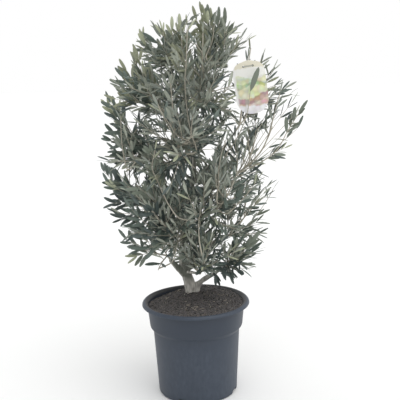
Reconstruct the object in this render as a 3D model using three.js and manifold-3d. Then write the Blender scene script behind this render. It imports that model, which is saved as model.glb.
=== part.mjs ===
// A young olive grown as a bush in a round plastic nursery pot.
// Millimetres, +Z up. The origin is the centre of the pot's underside, +X is to the right of the
// front view and +Y runs away from the viewer.
import * as THREE from "three";
import { mergeVertices } from "three/addons/utils/BufferGeometryUtils.js";
import Module from "manifold-3d";

const wasm = await Module();
wasm.setup();

const clearance = 0.3; // between pieces that touch
const ample = 800; // width of the blocks that solids are cut with
const fine = 0.05; // detail smaller than this is left out of a joined solid
const up = new THREE.Vector3(0, 0, 1);

const pot = {
  height: 316,
  wall: 3,
  rimRadius: 180, // outer edge of the rolled lip
  rimDrop: 12, // how far the lip is turned down
  crestRadius: 172, // where the lip is highest
  crestDrop: 5, // from there to the lip's underside
  lipEdge: 7, // from the top to where the lip turns down
  mouthRadius: 160, // inside of the collar at the top
  mouthDrop: 8, // how far the mouth lies below the lip
  collarBottom: 232,
  collarBottomRadius: 155.5,
  shoulderBottom: 219,
  bodyTopRadius: 145,
  footRadius: 132.5,
  footRound: 9, // rounding where the wall meets the underside
  underside: 4, // thickness of the floor
  sides: 32,
  drains: 4, // notches low in the wall that let water out
  drainWidth: 42,
  drainHeight: 14,
  drainReach: 16, // how far in from the wall's outside a notch goes
  drainBearing: -20, // of the notch that shows low on the right
};

const soil = {
  edgeHeight: 306, // level at the wall
  crest: 323, // level at the foot of the trunk
  moundRadius: 150,
  dip: 18, // how much lower it lies at the back left
  dipBearing: 135,
  dipFall: 4, // how fast the dip ends to either side
  seatRadius: 34, // flat patch under the trunk
  slack: 1, // between the root ball and the wall
  rings: 4,
  sides: 24,
};

const trunk = {
  foot: [-16, 68], // x, y on the mound
  sides: 8,
  rings: 15,
  // height, sideways lean of the axis in x, lean in y, radius
  course: [
    { z: soil.crest + clearance, x: -16, y: 68, r: 22.5 },
    { z: 330, x: -17, y: 67, r: 20.5 },
    { z: 352, x: -20, y: 66, r: 19.5 },
    { z: 405, x: -35, y: 61, r: 16 },
    { z: 460, x: -41, y: 56, r: 13.8 },
    { z: 600, x: -19, y: 47, r: 10 },
    { z: 760, x: 7, y: 42, r: 7 },
    { z: 860, x: 4, y: 40, r: 5.6 },
    { z: 970, x: -14, y: 40, r: 4.4 },
    { z: 1078, x: -8, y: 40, r: 3.2 },
  ],
};

const crown = {
  axisY: 40, // the crown's middle lies a little behind the pot's
  depthShare: 0.92, // depth over width
  // how far the foliage reaches to the left and right of the axis, by height
  outline: [
    { z: 346, left: 10, right: 150 },
    { z: 384, left: 110, right: 190 },
    { z: 430, left: 218, right: 232 },
    { z: 500, left: 240, right: 240 },
    { z: 565, left: 276, right: 264 },
    { z: 630, left: 304, right: 262 },
    { z: 700, left: 306, right: 284 },
    { z: 800, left: 322, right: 312 },
    { z: 905, left: 300, right: 356 },
    { z: 960, left: 288, right: 372 },
    { z: 1010, left: 284, right: 356 },
    { z: 1056, left: 264, right: 326 },
    { z: 1103, left: 234, right: 290 },
    { z: 1143, left: 198, right: 248 },
    { z: 1200, left: 162, right: 210 },
    { z: 1236, left: 128, right: 168 },
    { z: 1274, left: 36, right: 98 },
    { z: 1294, left: -36, right: 66 },
  ],
  flatten: 0.85, // heights count a little less than widths when space is shared out
  margin: 1, // each mass stays this far inside its own space
  sideInset: 0.6, // share of an inset from the outline that counts sideways
  boxHalf: 380, // half the width of the box in which places are tried
};

// Each bough leaves the trunk at `fork`, heads for `bearing` (degrees, 0 is +X, 90 is the back)
// and ends at `out` from the crown's axis and height `top`, where its mass of foliage begins.
// The heart of the mass is given the same way: how far out, and how high.
const boughs = {
  right_low: { fork: 338, bearing: -6, out: 86, top: 408, r: 8, heart: [166, 440] },
  left_low: { fork: 380, bearing: 184, out: 82, top: 446, r: 12, heart: [164, 482] },
  front_low: { fork: 396, bearing: 282, out: 34, top: 404, r: 6, heart: [136, 458] },
  back_low: { fork: 400, bearing: 80, out: 56, top: 408, r: 6.5, heart: [150, 454] },
  right_mid: { fork: 456, bearing: 6, out: 96, top: 508, r: 7, heart: [186, 594] },
  left_mid: { fork: 530, bearing: 176, out: 86, top: 586, r: 6, heart: [206, 650] },
  front_left: { fork: 490, bearing: 232, out: 66, top: 524, r: 5.5, heart: [166, 604] },
  back_left: { fork: 510, bearing: 124, out: 72, top: 550, r: 5.5, heart: [170, 614] },
  front_right: { fork: 560, bearing: 307, out: 72, top: 604, r: 5.5, heart: [170, 672] },
  back_right: { fork: 590, bearing: 50, out: 76, top: 630, r: 5.5, heart: [176, 686] },
  right_arch: { fork: 645, bearing: -4, out: 126, top: 716, r: 5.5, heart: [232, 812] },
  right_high: { fork: 700, bearing: -8, out: 150, top: 880, r: 5.5, heart: [184, 1046] },
  left_upper: { fork: 716, bearing: 178, out: 80, top: 780, r: 5, heart: [206, 862] },
  front_mid: { fork: 738, bearing: 254, out: 60, top: 780, r: 4.5, heart: [152, 856] },
  back_mid: { fork: 766, bearing: 98, out: 66, top: 808, r: 4.5, heart: [164, 876] },
  left_high: { fork: 842, bearing: 178, out: 76, top: 930, r: 4.3, heart: [156, 1040] },
  front_high: { fork: 870, bearing: 290, out: 44, top: 950, r: 4, heart: [108, 1036] },
  back_high: { fork: 892, bearing: 72, out: 52, top: 968, r: 4, heart: [120, 1054] },
  top_right: { fork: 985, bearing: 4, out: 54, top: 1064, r: 3.8, heart: [92, 1150] },
};
const leaderHeart = [66, 1150]; // of the mass on the trunk's own tip, to the left

const limb = {
  tipShare: 0.62, // a bough's radius at its tip, over that at its root
  sides: 5,
  rings: 5,
  sweep: 0.55, // share of its way out that a bough makes before it turns up
  lift: 0.44, // share of its rise that it makes by then
};

// The rule of growth: in each space a stem runs through the heart, and twigs leave it for places
// that are spread evenly through the crown. Leaves stand in pairs along a twig, each pair turned
// a quarter from the last, with one leaf at its end.
const growth = {
  seed: 26,
  places: 560, // tried in the box round the crown
  lowBias: 1.3, // above 1, more of them lie low
  lowRise: 0.35, // how steeply the lowest stems leave the heart, and the highest
  highRise: 0.85,
  highFrom: 994, // hearts from this height up have the steepest stems
  // ends of the shoots that reach furthest, round the top and in the arch on the right
  leaders: [[44, 46, 1196], [78, 40, 1172], [-12, 44, 1182], [-74, 46, 1142], [-128, 44, 1122],
    [116, 46, 1166], [176, 40, 1104], [292, 20, 884]],
  stemBeyond: 190, // how far it may run past the heart
  stemStep: 38,
  twigAngle: 48, // from the stem, in degrees
  twigMost: 104, // widest angle
  twigLongest: 210,
  twigShortest: 40,
  twigSag: 0.16, // how far a twig bows down before it turns up, over its length
  twigRings: 2,
  leafGap: 36, // between the pairs along a twig
  stemLeafGap: 65,
  leafAngle: 40, // from the twig
  angleVary: 0.25, // share by which that angle differs
  tipSpace: 52, // room that twigs leave for leaves, inside the crown's outline
  stemRadius: 3.4,
  stemTip: 2.2,
  twigRadius: 1.9,
  twigTip: 1.3,
  leafLength: 112,
  leafVary: 0.16, // share by which sizes differ
  leafWidth: 31,
  leafWidest: 0.42, // where along its length a leaf is widest
  leafThickness: 2.6,
  leafTwist: 0.9, // radians either way
  leafFree: 0.3, // share of a leaf, from its root, that may be close to other pieces
  tipOverlap: 2, // how far the last leaf's root lies inside its twig
  leafTries: [[0, 1], [1, 1], [0, 0.75], [1, 0.75]], // quarter turns, size
  leafSpace: 10, // between the middle lines of two leaves
  shootSpace: 7, // between a leaf's middle line and a shoot that isn't its own
  limbGap: 1, // least space between a twig or leaf and a limb
};

const label = {
  onMass: "right_high",
  height: 1082, // of its tie
  width: 104,
  length: 166,
  thickness: 0.9,
  topCorner: 34,
  topArch: 4, // how far the middle of the top edge rises
  topEase: 3, // how far the top corners are drawn in
  bottomCorner: 47,
  lean: 7, // degrees, bottom to the right
  tieFromTop: 14,
  slotSpread: 30,
  slotWidth: 3,
  slotHeight: 4.6,
  tieWidth: 3.4,
  tieThickness: 1.4,
  room: 12, // foliage keeps this far from the card's edges
  sightline: 230, // and out of the view of the card this far in front
};

const finishes = {
  plastic: { color: 0x49525d, roughness: 0.55, metalness: 0 },
  compost: { color: 0x3a322b, roughness: 1, metalness: 0 },
  bark: { color: 0x77756a, roughness: 0.9, metalness: 0 },
  foliage: { color: 0x5d6a5a, roughness: 0.6, metalness: 0 },
  card: { color: 0xe9e6dc, roughness: 0.4, metalness: 0 },
};

const part = new THREE.Group();
const degrees = THREE.MathUtils.degToRad;

// A closed solid from a three.js geometry.
function solidOf(geometry) {
  const bare = geometry.clone();
  bare.deleteAttribute("normal");
  bare.deleteAttribute("uv");
  const merged = mergeVertices(bare, 1e-4);
  return new wasm.Manifold(
    new wasm.Mesh({
      numProp: 3,
      vertProperties: merged.attributes.position.array,
      triVerts: new Uint32Array(merged.index.array),
    }),
  );
}

// A three.js geometry from a solid.
function geometryOf(solid) {
  const mesh = solid.getMesh();
  const position = new Float32Array(mesh.numVert * 3);
  for (let i = 0; i < mesh.numVert; i++) {
    position.set(mesh.vertProperties.subarray(i * mesh.numProp, i * mesh.numProp + 3), i * 3);
  }
  const geometry = new THREE.BufferGeometry();
  geometry.setAttribute("position", new THREE.BufferAttribute(position, 3));
  geometry.setIndex(new THREE.BufferAttribute(mesh.triVerts, 1));
  geometry.computeVertexNormals();
  return geometry;
}

function add(name, solid, finish) {
  const mesh = new THREE.Mesh(geometryOf(solid), new THREE.MeshStandardMaterial(finishes[finish]));
  mesh.name = name;
  part.add(mesh);
  return mesh;
}

// Random numbers from 0 to 1 that are the same on each run.
function seeded(seed) {
  let state = seed >>> 0;
  return () => {
    state = (state + 0x6d2b79f5) >>> 0;
    let t = Math.imul(state ^ (state >>> 15), state | 1);
    t ^= t + Math.imul(t ^ (t >>> 7), t | 61);
    return ((t ^ (t >>> 14)) >>> 0) / 4294967296;
  };
}

// The value of `key` at height z in a list of sections ordered by height.
function valueAt(sections, z, key) {
  const last = sections.length - 1;
  if (z <= sections[0].z) return sections[0][key];
  if (z >= sections[last].z) return sections[last][key];
  const i = sections.findIndex((s) => s.z >= z);
  const low = sections[i - 1];
  const high = sections[i];
  return THREE.MathUtils.lerp(low[key], high[key], (z - low.z) / (high.z - low.z));
}

// The pot or the root ball without its drain notches, each larger by slack on all sides.
function drained(solid, slack) {
  const reach = pot.drainReach + slack;
  const width = pot.drainWidth + 2 * slack;
  const height = 2 * (pot.drainHeight + slack);
  return Array.from({ length: pot.drains }).reduce((left, _, i) => {
    const notch = new THREE.BoxGeometry(2 * reach, width, height);
    notch.translate(pot.footRadius, 0, 0);
    notch.rotateZ(degrees(pot.drainBearing + (i * 360) / pot.drains));
    return left.subtract(solidOf(notch));
  }, solid);
}

// Lathe profile of the pot, from the middle of the underside round the outside and back inside.
function potSolid() {
  const profile = new THREE.Path();
  const lipBottom = pot.height - pot.rimDrop;
  const turn = pot.height - pot.lipEdge;
  const mouth = pot.height - pot.mouthDrop;
  const inside = pot.bodyTopRadius - pot.wall;
  profile.moveTo(0, 0);
  profile.lineTo(pot.footRadius - pot.footRound, 0);
  profile.quadraticCurveTo(pot.footRadius, 0, pot.footRadius, pot.footRound);
  profile.lineTo(pot.bodyTopRadius, pot.shoulderBottom);
  profile.lineTo(pot.collarBottomRadius, pot.collarBottom);
  profile.lineTo(pot.mouthRadius + pot.wall, mouth - pot.crestDrop);
  profile.lineTo(pot.crestRadius, pot.height - pot.crestDrop);
  profile.lineTo(pot.rimRadius - pot.wall, turn);
  profile.lineTo(pot.rimRadius - pot.wall, lipBottom);
  profile.lineTo(pot.rimRadius, lipBottom);
  profile.lineTo(pot.rimRadius, turn);
  profile.quadraticCurveTo(pot.rimRadius, pot.height, pot.crestRadius, pot.height);
  profile.lineTo(pot.mouthRadius, mouth);
  profile.lineTo(pot.collarBottomRadius - pot.wall, pot.collarBottom);
  profile.lineTo(inside, pot.shoulderBottom);
  profile.lineTo(pot.footRadius - pot.wall, pot.footRound);
  profile.lineTo(pot.footRadius - pot.footRound, pot.underside);
  profile.lineTo(0, pot.underside);
  const points = profile.getPoints(2);
  const body = new THREE.LatheGeometry(points, pot.sides).rotateX(Math.PI / 2);
  return drained(solidOf(body), 0).asOriginal().simplify(fine);
}

// Inner radius of the pot at height z.
function innerRadius(z) {
  const t = (z - pot.collarBottom) / (pot.height - pot.mouthDrop - pot.collarBottom);
  return THREE.MathUtils.lerp(pot.collarBottomRadius - pot.wall, pot.mouthRadius, t);
}

// Level of the compost at x, y: a mound round the foot of the trunk, with a dip at the back left.
function soilLevel(x, y) {
  const fromTrunk = Math.hypot(x - trunk.foot[0], y - trunk.foot[1]);
  const mound = Math.max(0, 1 - Math.max(0, fromTrunk - soil.seatRadius) / soil.moundRadius);
  const bearing = Math.atan2(y, x) - degrees(soil.dipBearing);
  const outwards = mound < 1 ? Math.min(1, Math.hypot(x, y) / pot.mouthRadius) : 0;
  const dip = soil.dip * Math.max(0, Math.cos(bearing)) ** soil.dipFall * outwards ** 2;
  return soil.edgeHeight + (soil.crest - soil.edgeHeight) * mound * mound * (3 - 2 * mound) - dip;
}

// The root ball: it fills the pot, and its top is the mound.
function soilSolid() {
  const inwards = pot.wall + soil.slack;
  const filled = [
    new THREE.Vector2(0, pot.underside + clearance),
    new THREE.Vector2(pot.footRadius - pot.footRound - inwards, pot.underside + clearance),
    new THREE.Vector2(pot.footRadius - inwards, pot.footRound + soil.slack),
    new THREE.Vector2(pot.bodyTopRadius - inwards, pot.shoulderBottom),
    new THREE.Vector2(pot.collarBottomRadius - inwards, pot.collarBottom + soil.slack),
    new THREE.Vector2(innerRadius(soil.edgeHeight - soil.dip) - soil.slack, soil.edgeHeight),
  ];
  const shape = filled.concat(
    Array.from({ length: soil.rings }, (_, i) => {
      const share = 1 - (i + 1) / soil.rings;
      return new THREE.Vector2(filled.at(-1).x * share, soil.edgeHeight);
    }),
  );
  const geometry = new THREE.LatheGeometry(shape, soil.sides).rotateX(Math.PI / 2);
  const position = geometry.attributes.position;
  for (let i = 0; i < position.count; i++) {
    if (position.getZ(i) > soil.edgeHeight - soil.slack) {
      position.setZ(i, soilLevel(position.getX(i), position.getY(i)));
    }
  }
  const ball = solidOf(geometry);
  const above = new THREE.CylinderGeometry(soil.seatRadius, soil.seatRadius, pot.height, soil.sides);
  above.rotateX(Math.PI / 2).translate(trunk.foot[0], trunk.foot[1], soil.crest + pot.height / 2);
  return drained(ball.subtract(solidOf(above)), soil.slack);
}

// A tapering limb through a row of points. radiusAt is given each point and its share of the row.
function limbSolid(points, radiusAt, sides) {
  const rings = points.length - 1;
  const rod = new THREE.CylinderGeometry(1, 1, 1, sides, rings);
  const position = rod.attributes.position;
  const frames = [];
  let across = new THREE.Vector3(1, 0, 0);
  points.forEach((p, i) => {
    const way = (points[i + 1] ?? p).clone().sub(points[i - 1] ?? p).normalize();
    if (Math.abs(across.dot(way)) > 0.95) across = new THREE.Vector3(0, 1, 0);
    across = across.clone().addScaledVector(way, -across.dot(way)).normalize();
    frames.push({ across, other: new THREE.Vector3().crossVectors(way, across) });
  });
  for (let i = 0; i < position.count; i++) {
    const ring = Math.round((0.5 - position.getY(i)) * rings);
    const radius = radiusAt(points[ring], ring / rings);
    const place = points[ring].clone();
    place.addScaledVector(frames[ring].across, position.getX(i) * radius);
    place.addScaledVector(frames[ring].other, position.getZ(i) * radius);
    position.setXYZ(i, place.x, place.y, place.z);
  }
  return solidOf(rod);
}

const trunkCurve = new THREE.CatmullRomCurve3(
  trunk.course.map((s) => new THREE.Vector3(s.x, s.y, s.z)),
);

function trunkPoint(z) {
  const course = trunk.course;
  return new THREE.Vector3(valueAt(course, z, "x"), valueAt(course, z, "y"), z);
}

function trunkRadius(p) {
  return valueAt(trunk.course, p.z, "r");
}

// The trunk, or the trunk with `extra` all round for cutting its boughs to fit.
function trunkSolid(extra) {
  const points = trunkCurve.getSpacedPoints(trunk.rings);
  const whole = limbSolid(points, (p) => trunkRadius(p) + extra, trunk.sides);
  const below = new THREE.BoxGeometry(ample, ample, ample);
  below.translate(0, 0, soil.crest + clearance - ample / 2);
  return whole.subtract(solidOf(below));
}

// A point at `out` from the crown's axis.
function aroundAxis(bearing, out, z) {
  const angle = degrees(bearing);
  return new THREE.Vector3(out * Math.cos(angle), crown.axisY + out * Math.sin(angle), z);
}

function boughCurve(bough) {
  const start = trunkPoint(bough.fork);
  const end = aroundAxis(bough.bearing, bough.out, bough.top);
  const turn = start.clone().lerp(end, limb.sweep);
  turn.z = THREE.MathUtils.lerp(bough.fork, bough.top, limb.lift);
  return new THREE.QuadraticBezierCurve3(start, turn, end);
}

function boughRadius(bough) {
  return (p, share) => bough.r * THREE.MathUtils.lerp(1, limb.tipShare, share);
}

// A limb as a chain of straight lengths, each with its largest radius.
function lengthsOf(points, radiusAt) {
  return points.slice(1).map((p, i) => ({
    line: new THREE.Line3(points[i], p),
    r: Math.max(radiusAt(points[i], i / (points.length - 1)), radiusAt(p, (i + 1) / (points.length - 1))),
  }));
}

// The limbs that foliage keeps clear of.
const limbLengths = { trunk: lengthsOf(trunkCurve.getSpacedPoints(trunk.rings * 2), trunkRadius) };
for (const [name, bough] of Object.entries(boughs)) {
  limbLengths[name] = lengthsOf(boughCurve(bough).getSpacedPoints(limb.rings), boughRadius(bough));
}

// The masses: where each begins, which way, and the heart of its space.
const masses = {};
for (const [name, bough] of Object.entries(boughs)) {
  const curve = boughCurve(bough);
  const way = curve.getTangentAt(1);
  masses[name] = {
    limb: name,
    root: curve.getPointAt(1).addScaledVector(way, clearance),
    way,
    heart: aroundAxis(bough.bearing, bough.heart[0], bough.heart[1]),
  };
}
const leaderWay = trunkCurve.getTangentAt(1);
masses.top_left = {
  limb: "trunk",
  root: trunkCurve.getPointAt(1).addScaledVector(leaderWay, clearance),
  way: leaderWay,
  heart: aroundAxis(180, leaderHeart[0], leaderHeart[1]),
};

// Distance from the crown's axis to its outline towards p.
function crownReach(p) {
  const x = p.x;
  const y = p.y - crown.axisY;
  const left = valueAt(crown.outline, p.z, "left");
  const right = valueAt(crown.outline, p.z, "right");
  const along = Math.hypot(x, y) > 0 ? x / Math.hypot(x, y) : 0;
  const across = 1 - along * along;
  const mean = (left + right) / 2;
  return mean * (1 - (1 - crown.depthShare) * across) + ((right - left) / 2) * along;
}

// Whether p lies in the space of a mass: the part of the crown nearer to its heart than to any
// other, by at least `spare` and the margin, and `inset` within the outline.
function insideSpace(name, p, inset, spare) {
  if (p.z < crown.outline[0].z || p.z > crown.outline.at(-1).z - inset) return false;
  if (Math.hypot(p.x, p.y - crown.axisY) > crownReach(p) - inset * crown.sideInset) return false;
  const own = masses[name].heart;
  const squashed = (a, b) =>
    (a.x - b.x) ** 2 + (a.y - b.y) ** 2 + ((a.z - b.z) * crown.flatten) ** 2;
  const here = squashed(p, own);
  return Object.entries(masses).every(([other, mass]) => {
    if (other === name) return true;
    const between = Math.sqrt(squashed(own, mass.heart));
    return (squashed(p, mass.heart) - here) / (2 * between) > crown.margin + spare;
  });
}

// The card's place and its stem's size, once it hangs.
let card = null;

// Whether p is in the card, or in front of it in the view.
function coversCard(p) {
  const x = p.x - card.at.x - label.room;
  const z = p.z - card.at.z - label.tieFromTop;
  const behind = p.y - card.at.y;
  return Math.abs(x) < label.width / 2 + label.room && z < label.room
    && z > -label.length - label.room && behind > -label.sightline && behind < label.room / 2;
}

// Whether the straight line from a to b keeps out of the card and of the view of it.
function clearOfCard(a, b) {
  if (!card) return true;
  const steps = Math.ceil(a.distanceTo(b) / label.room);
  return Array.from({ length: steps }, (_, i) => (i + 1) / steps)
    .every((share) => !coversCard(a.clone().lerp(b, share)));
}

// Whether the straight line from a to b, this thick, keeps clear of every limb but one.
function clearOfLimbs(a, b, thickness, except) {
  const line = new THREE.Line3(a, b);
  return Object.entries(limbLengths).every(([name, lengths]) => {
    if (name === except) return true;
    return lengths.every((length) => {
      const gap = Math.sqrt(line.distanceSqToLine3(length.line)) - length.r;
      return gap > thickness + growth.limbGap;
    });
  });
}

// A direction at `angle` from `way`, turned by `roll` round it.
function branchWay(way, angle, roll) {
  const side = new THREE.Vector3().crossVectors(way, up);
  if (side.lengthSq() < 1e-6) side.set(1, 0, 0);
  side.normalize().applyAxisAngle(way, roll);
  return way.clone().applyAxisAngle(side, angle).normalize();
}

// The i-th number from 0 to 1 of an evenly spread row.
function spread(i, base) {
  let value = 0;
  for (let share = 1 / base; i > 0; share /= base) {
    value += (i % base) * share;
    i = Math.floor(i / base);
  }
  return value;
}

// Places for the ends of twigs, even through the crown.
function crownPlaces(count) {
  const low = crown.outline[0].z;
  const high = crown.outline.at(-1).z;
  const half = crown.boxHalf;
  return Array.from({ length: count }, (_, i) => new THREE.Vector3(
    (spread(i + 1, 2) * 2 - 1) * half,
    (spread(i + 1, 3) * 2 - 1) * half,
    low + spread(i + 1, 5) ** growth.lowBias * (high - low),
  ));
}

// The stem of a mass, from the end of its bough through the heart of its space.
function growStem(name) {
  const mass = masses[name];
  const outward = mass.heart.clone().setY(mass.heart.y - crown.axisY).setZ(0).normalize();
  const share = THREE.MathUtils.smoothstep(mass.heart.z, crown.outline[0].z, growth.highFrom);
  const rise = THREE.MathUtils.lerp(growth.lowRise, growth.highRise, share);
  const onwards = outward.multiplyScalar(1 - rise).addScaledVector(up, rise);
  const bend = mass.root.clone().addScaledVector(mass.way, growth.stemStep / 2);
  const beyond = mass.heart.clone().addScaledVector(onwards.normalize(), growth.stemBeyond);
  const course = new THREE.CatmullRomCurve3([bend, mass.heart, beyond]);
  const points = [mass.root, ...course.getSpacedPoints(Math.round(course.getLength() / growth.stemStep))];
  const stop = points.findIndex((p, i) => i > 1 && !(
    insideSpace(name, p, growth.tipSpace, growth.stemRadius)
    && clearOfLimbs(points[i - 1], p, growth.stemRadius, mass.limb)));
  return stop < 0 ? points : points.slice(0, stop);
}

// A twig from the stem to `end`, or null where none fits.
function growTwig(name, stem, end) {
  let best = null;
  for (let i = 1; i < stem.length - 1; i++) {
    const reach = end.clone().sub(stem[i]);
    const length = reach.length();
    const angle = THREE.MathUtils.radToDeg(reach.angleTo(stem[i + 1].clone().sub(stem[i])));
    const off = Math.abs(angle - growth.twigAngle);
    const fits = length > growth.twigShortest && length < growth.twigLongest && angle < growth.twigMost;
    if (fits && (!best || off < best.off)) best = { off, from: stem[i], length };
  }
  if (!best) return null;
  const bend = best.from.clone().lerp(end, 0.5).addScaledVector(up, -growth.twigSag * best.length);
  const points = new THREE.QuadraticBezierCurve3(best.from, bend, end).getSpacedPoints(growth.twigRings);
  const clear = points.every((p, i) => i === 0 || (
    insideSpace(name, p, 0, growth.twigRadius) && clearOfCard(points[i - 1], p)
    && clearOfLimbs(points[i - 1], p, growth.twigRadius, "")));
  return clear ? points : null;
}

// Stem, twigs and leaves of one mass, as plain data.
function grow(name, ends) {
  const random = seeded(growth.seed + Object.keys(masses).indexOf(name));
  const vary = (share) => 1 + (random() * 2 - 1) * share;
  const stem = growStem(name);
  const leaves = [];

  const twigs = ends.map((end) => growTwig(name, stem, end)).filter((points) => points);
  const shoots = [stem, ...twigs].map((points) =>
    points.slice(1).map((p, i) => new THREE.Line3(points[i], p)));

  // A leaf stays in its space, and clear of the card, the limbs, the other shoots and the leaves
  // that are there. One that doesn't fit is tried a quarter turn round, then smaller.
  const leaf = (base, way, angle, roll, own) => {
    const twist = (random() * 2 - 1) * growth.leafTwist;
    const whole = vary(growth.leafVary);
    for (const [turn, size] of growth.leafTries) {
      const along = branchWay(way, angle, roll + turn * Math.PI / 2);
      const length = growth.leafLength * whole * size;
      const half = (growth.leafWidth * whole * size) / 2;
      const tip = base.clone().addScaledVector(along, length);
      const flat = new THREE.Vector3().crossVectors(along, up).normalize();
      flat.applyAxisAngle(along, twist);
      const middle = base.clone().lerp(tip, 0.5);
      const edges = [1, -1].map((side) => middle.clone().addScaledVector(flat, side * half));
      const outer = new THREE.Line3(base.clone().lerp(tip, growth.leafFree), tip);
      const fits = [tip, ...edges].every((p) => insideSpace(name, p, 0, 0) && clearOfCard(base, p))
        && clearOfLimbs(base, tip, half, "")
        && leaves.every((l) => outer.distanceSqToLine3(l.outer) > growth.leafSpace ** 2)
        && shoots.every((lines) => lines === own
          || lines.every((line) => outer.distanceSqToLine3(line) > growth.shootSpace ** 2));
      if (fits) {
        leaves.push({ root: base, along, flat, length, half, outer });
        return;
      }
    }
  };

  const leafPairs = (lines, gap) => {
    let roll = random() * Math.PI;
    let next = gap;
    for (const line of lines) {
      const run = line.distance();
      const way = line.delta(new THREE.Vector3()).normalize();
      for (; next < run; next += gap) {
        const at = line.start.clone().addScaledVector(way, next);
        for (const side of [0, Math.PI]) {
          leaf(at, way, degrees(growth.leafAngle * vary(growth.angleVary)), roll + side, lines);
        }
        roll += Math.PI / 2;
      }
      next -= run;
    }
    const last = lines.at(-1);
    const way = last.delta(new THREE.Vector3()).normalize();
    leaf(last.end.clone().addScaledVector(way, -growth.tipOverlap), way, 0, 0, lines);
  };

  leafPairs(shoots[0], growth.stemLeafGap);
  shoots.slice(1).forEach((lines) => leafPairs(lines, growth.leafGap));
  return { stem, twigs, leaves };
}

function shootSolid(points, rootRadius, tipRadius) {
  return limbSolid(points, (p, share) => THREE.MathUtils.lerp(rootRadius, tipRadius, share), 3);
}

// A leaf begins on the middle line of its twig. Its section is a triangle, flat above, with a low
// keel below; three sides in a circle of radius 1 are 2 sin 60 wide and 1.5 high.
function leafSolid(leaf) {
  const outline = [new THREE.Vector2(0, 0), new THREE.Vector2(1, growth.leafWidest), new THREE.Vector2(0, 1)];
  const blade = new THREE.LatheGeometry(outline, 3);
  blade.scale(leaf.half / Math.sin(Math.PI / 3), leaf.length, growth.leafThickness / 1.5);
  const face = new THREE.Vector3().crossVectors(leaf.flat, leaf.along);
  blade.applyMatrix4(new THREE.Matrix4().makeBasis(leaf.flat, leaf.along, face).setPosition(leaf.root));
  return solidOf(blade);
}

function massSolid(grown) {
  const pieces = [shootSolid(grown.stem, growth.stemRadius, growth.stemTip)];
  grown.twigs.forEach((points) => pieces.push(shootSolid(points, growth.twigRadius, growth.twigTip)));
  grown.leaves.forEach((leaf) => pieces.push(leafSolid(leaf)));
  const joined = wasm.Manifold.union(pieces).asOriginal().simplify(fine);
  return joined.decompose().reduce((most, s) => (s.volume() > most.volume() ? s : most));
}

// The plant label: a plastic card with round ends, hung by a closed tie through two slots.
function cardShape() {
  const shape = new THREE.Shape();
  const w = label.width / 2;
  const top = label.tieFromTop;
  const bottom = top - label.length;
  const r = label.bottomCorner;
  shape.moveTo(-w + label.topCorner, top);
  shape.quadraticCurveTo(0, top + label.topArch * 2, w - label.topCorner, top);
  shape.quadraticCurveTo(w - label.topEase, top - label.topEase, w, top - label.topCorner);
  shape.lineTo(w, bottom + r);
  shape.absarc(w - r, bottom + r, r, 0, -Math.PI / 2, true);
  shape.lineTo(-w + r, bottom);
  shape.absarc(-w + r, bottom + r, r, -Math.PI / 2, -Math.PI, true);
  shape.lineTo(-w, top - label.topCorner);
  shape.quadraticCurveTo(-w + label.topEase, top - label.topEase, -w + label.topCorner, top);
  return shape;
}

function cardSolid() {
  const blade = new THREE.ExtrudeGeometry(cardShape(), {
    depth: label.thickness, bevelEnabled: false, curveSegments: 4,
  });
  blade.rotateX(Math.PI / 2);
  blade.translate(0, label.thickness / 2, 0);
  let solid = solidOf(blade);
  for (const side of [-1, 1]) {
    const slot = new THREE.BoxGeometry(label.slotWidth, ample, label.slotHeight);
    // its upper edge rests on the tie
    const drop = label.tieWidth / 2 + clearance - label.slotHeight / 2;
    slot.translate((side * label.slotSpread) / 2, 0, drop);
    solid = solid.subtract(solidOf(slot));
  }
  return solid;
}

// A closed band through both slots and round the stem behind the card.
function tieSolid() {
  const t = label.tieThickness;
  const half = label.slotSpread / 2;
  const front = -label.thickness / 2 - clearance;
  const turn = label.thickness / 2 + clearance; // where it turns in behind the card
  const loop = (grow) => [
    new THREE.Vector2(-half - grow, front - grow - t / 2),
    new THREE.Vector2(half + grow, front - grow - t / 2),
    new THREE.Vector2(half + grow, turn + grow),
    new THREE.Vector2(card.stemHalf + clearance + t / 2 + grow, card.stemBack + clearance + grow + t / 2),
    new THREE.Vector2(-card.stemHalf - clearance - t / 2 - grow, card.stemBack + clearance + grow + t / 2),
    new THREE.Vector2(-half - grow, turn + grow),
  ];
  const ring = new THREE.Shape(loop(t / 2));
  ring.holes.push(new THREE.Path(loop(-t / 2)));
  const band = new THREE.ExtrudeGeometry(ring, { depth: label.tieWidth, bevelEnabled: false });
  band.translate(0, 0, -label.tieWidth / 2);
  return solidOf(band);
}

// Hangs the card close in front of the stem that carries it.
function placeCard() {
  const stem = shootSolid(growStem(label.onMass), growth.stemRadius, growth.stemTip);
  const between = (low, high) => {
    const slab = new THREE.BoxGeometry(ample, ample, high - low);
    slab.translate(0, 0, (low + high) / 2);
    return solidOf(slab).intersect(stem).boundingBox();
  };
  const beside = between(label.height + label.tieFromTop - label.length, label.height + label.tieFromTop);
  const held = between(label.height - label.tieWidth, label.height + label.tieWidth);
  const y = beside.min[1] - clearance - label.thickness / 2;
  card = {
    at: new THREE.Vector3((held.min[0] + held.max[0]) / 2, y, label.height),
    stemHalf: (held.max[0] - held.min[0]) / 2,
    stemBack: held.max[1] - y,
  };
}

add("pot", potSolid(), "plastic");
add("soil", soilSolid(), "compost");
add("trunk", trunkSolid(0), "bark");

const trunkCutter = trunkSolid(clearance);
for (const [name, bough] of Object.entries(boughs)) {
  const solid = limbSolid(boughCurve(bough).getSpacedPoints(limb.rings), boughRadius(bough), limb.sides);
  const cut = solid.subtract(trunkCutter);
  const longest = cut.decompose().reduce((most, s) => (s.volume() > most.volume() ? s : most));
  add(`bough_${name}`, longest, "bark");
}

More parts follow.
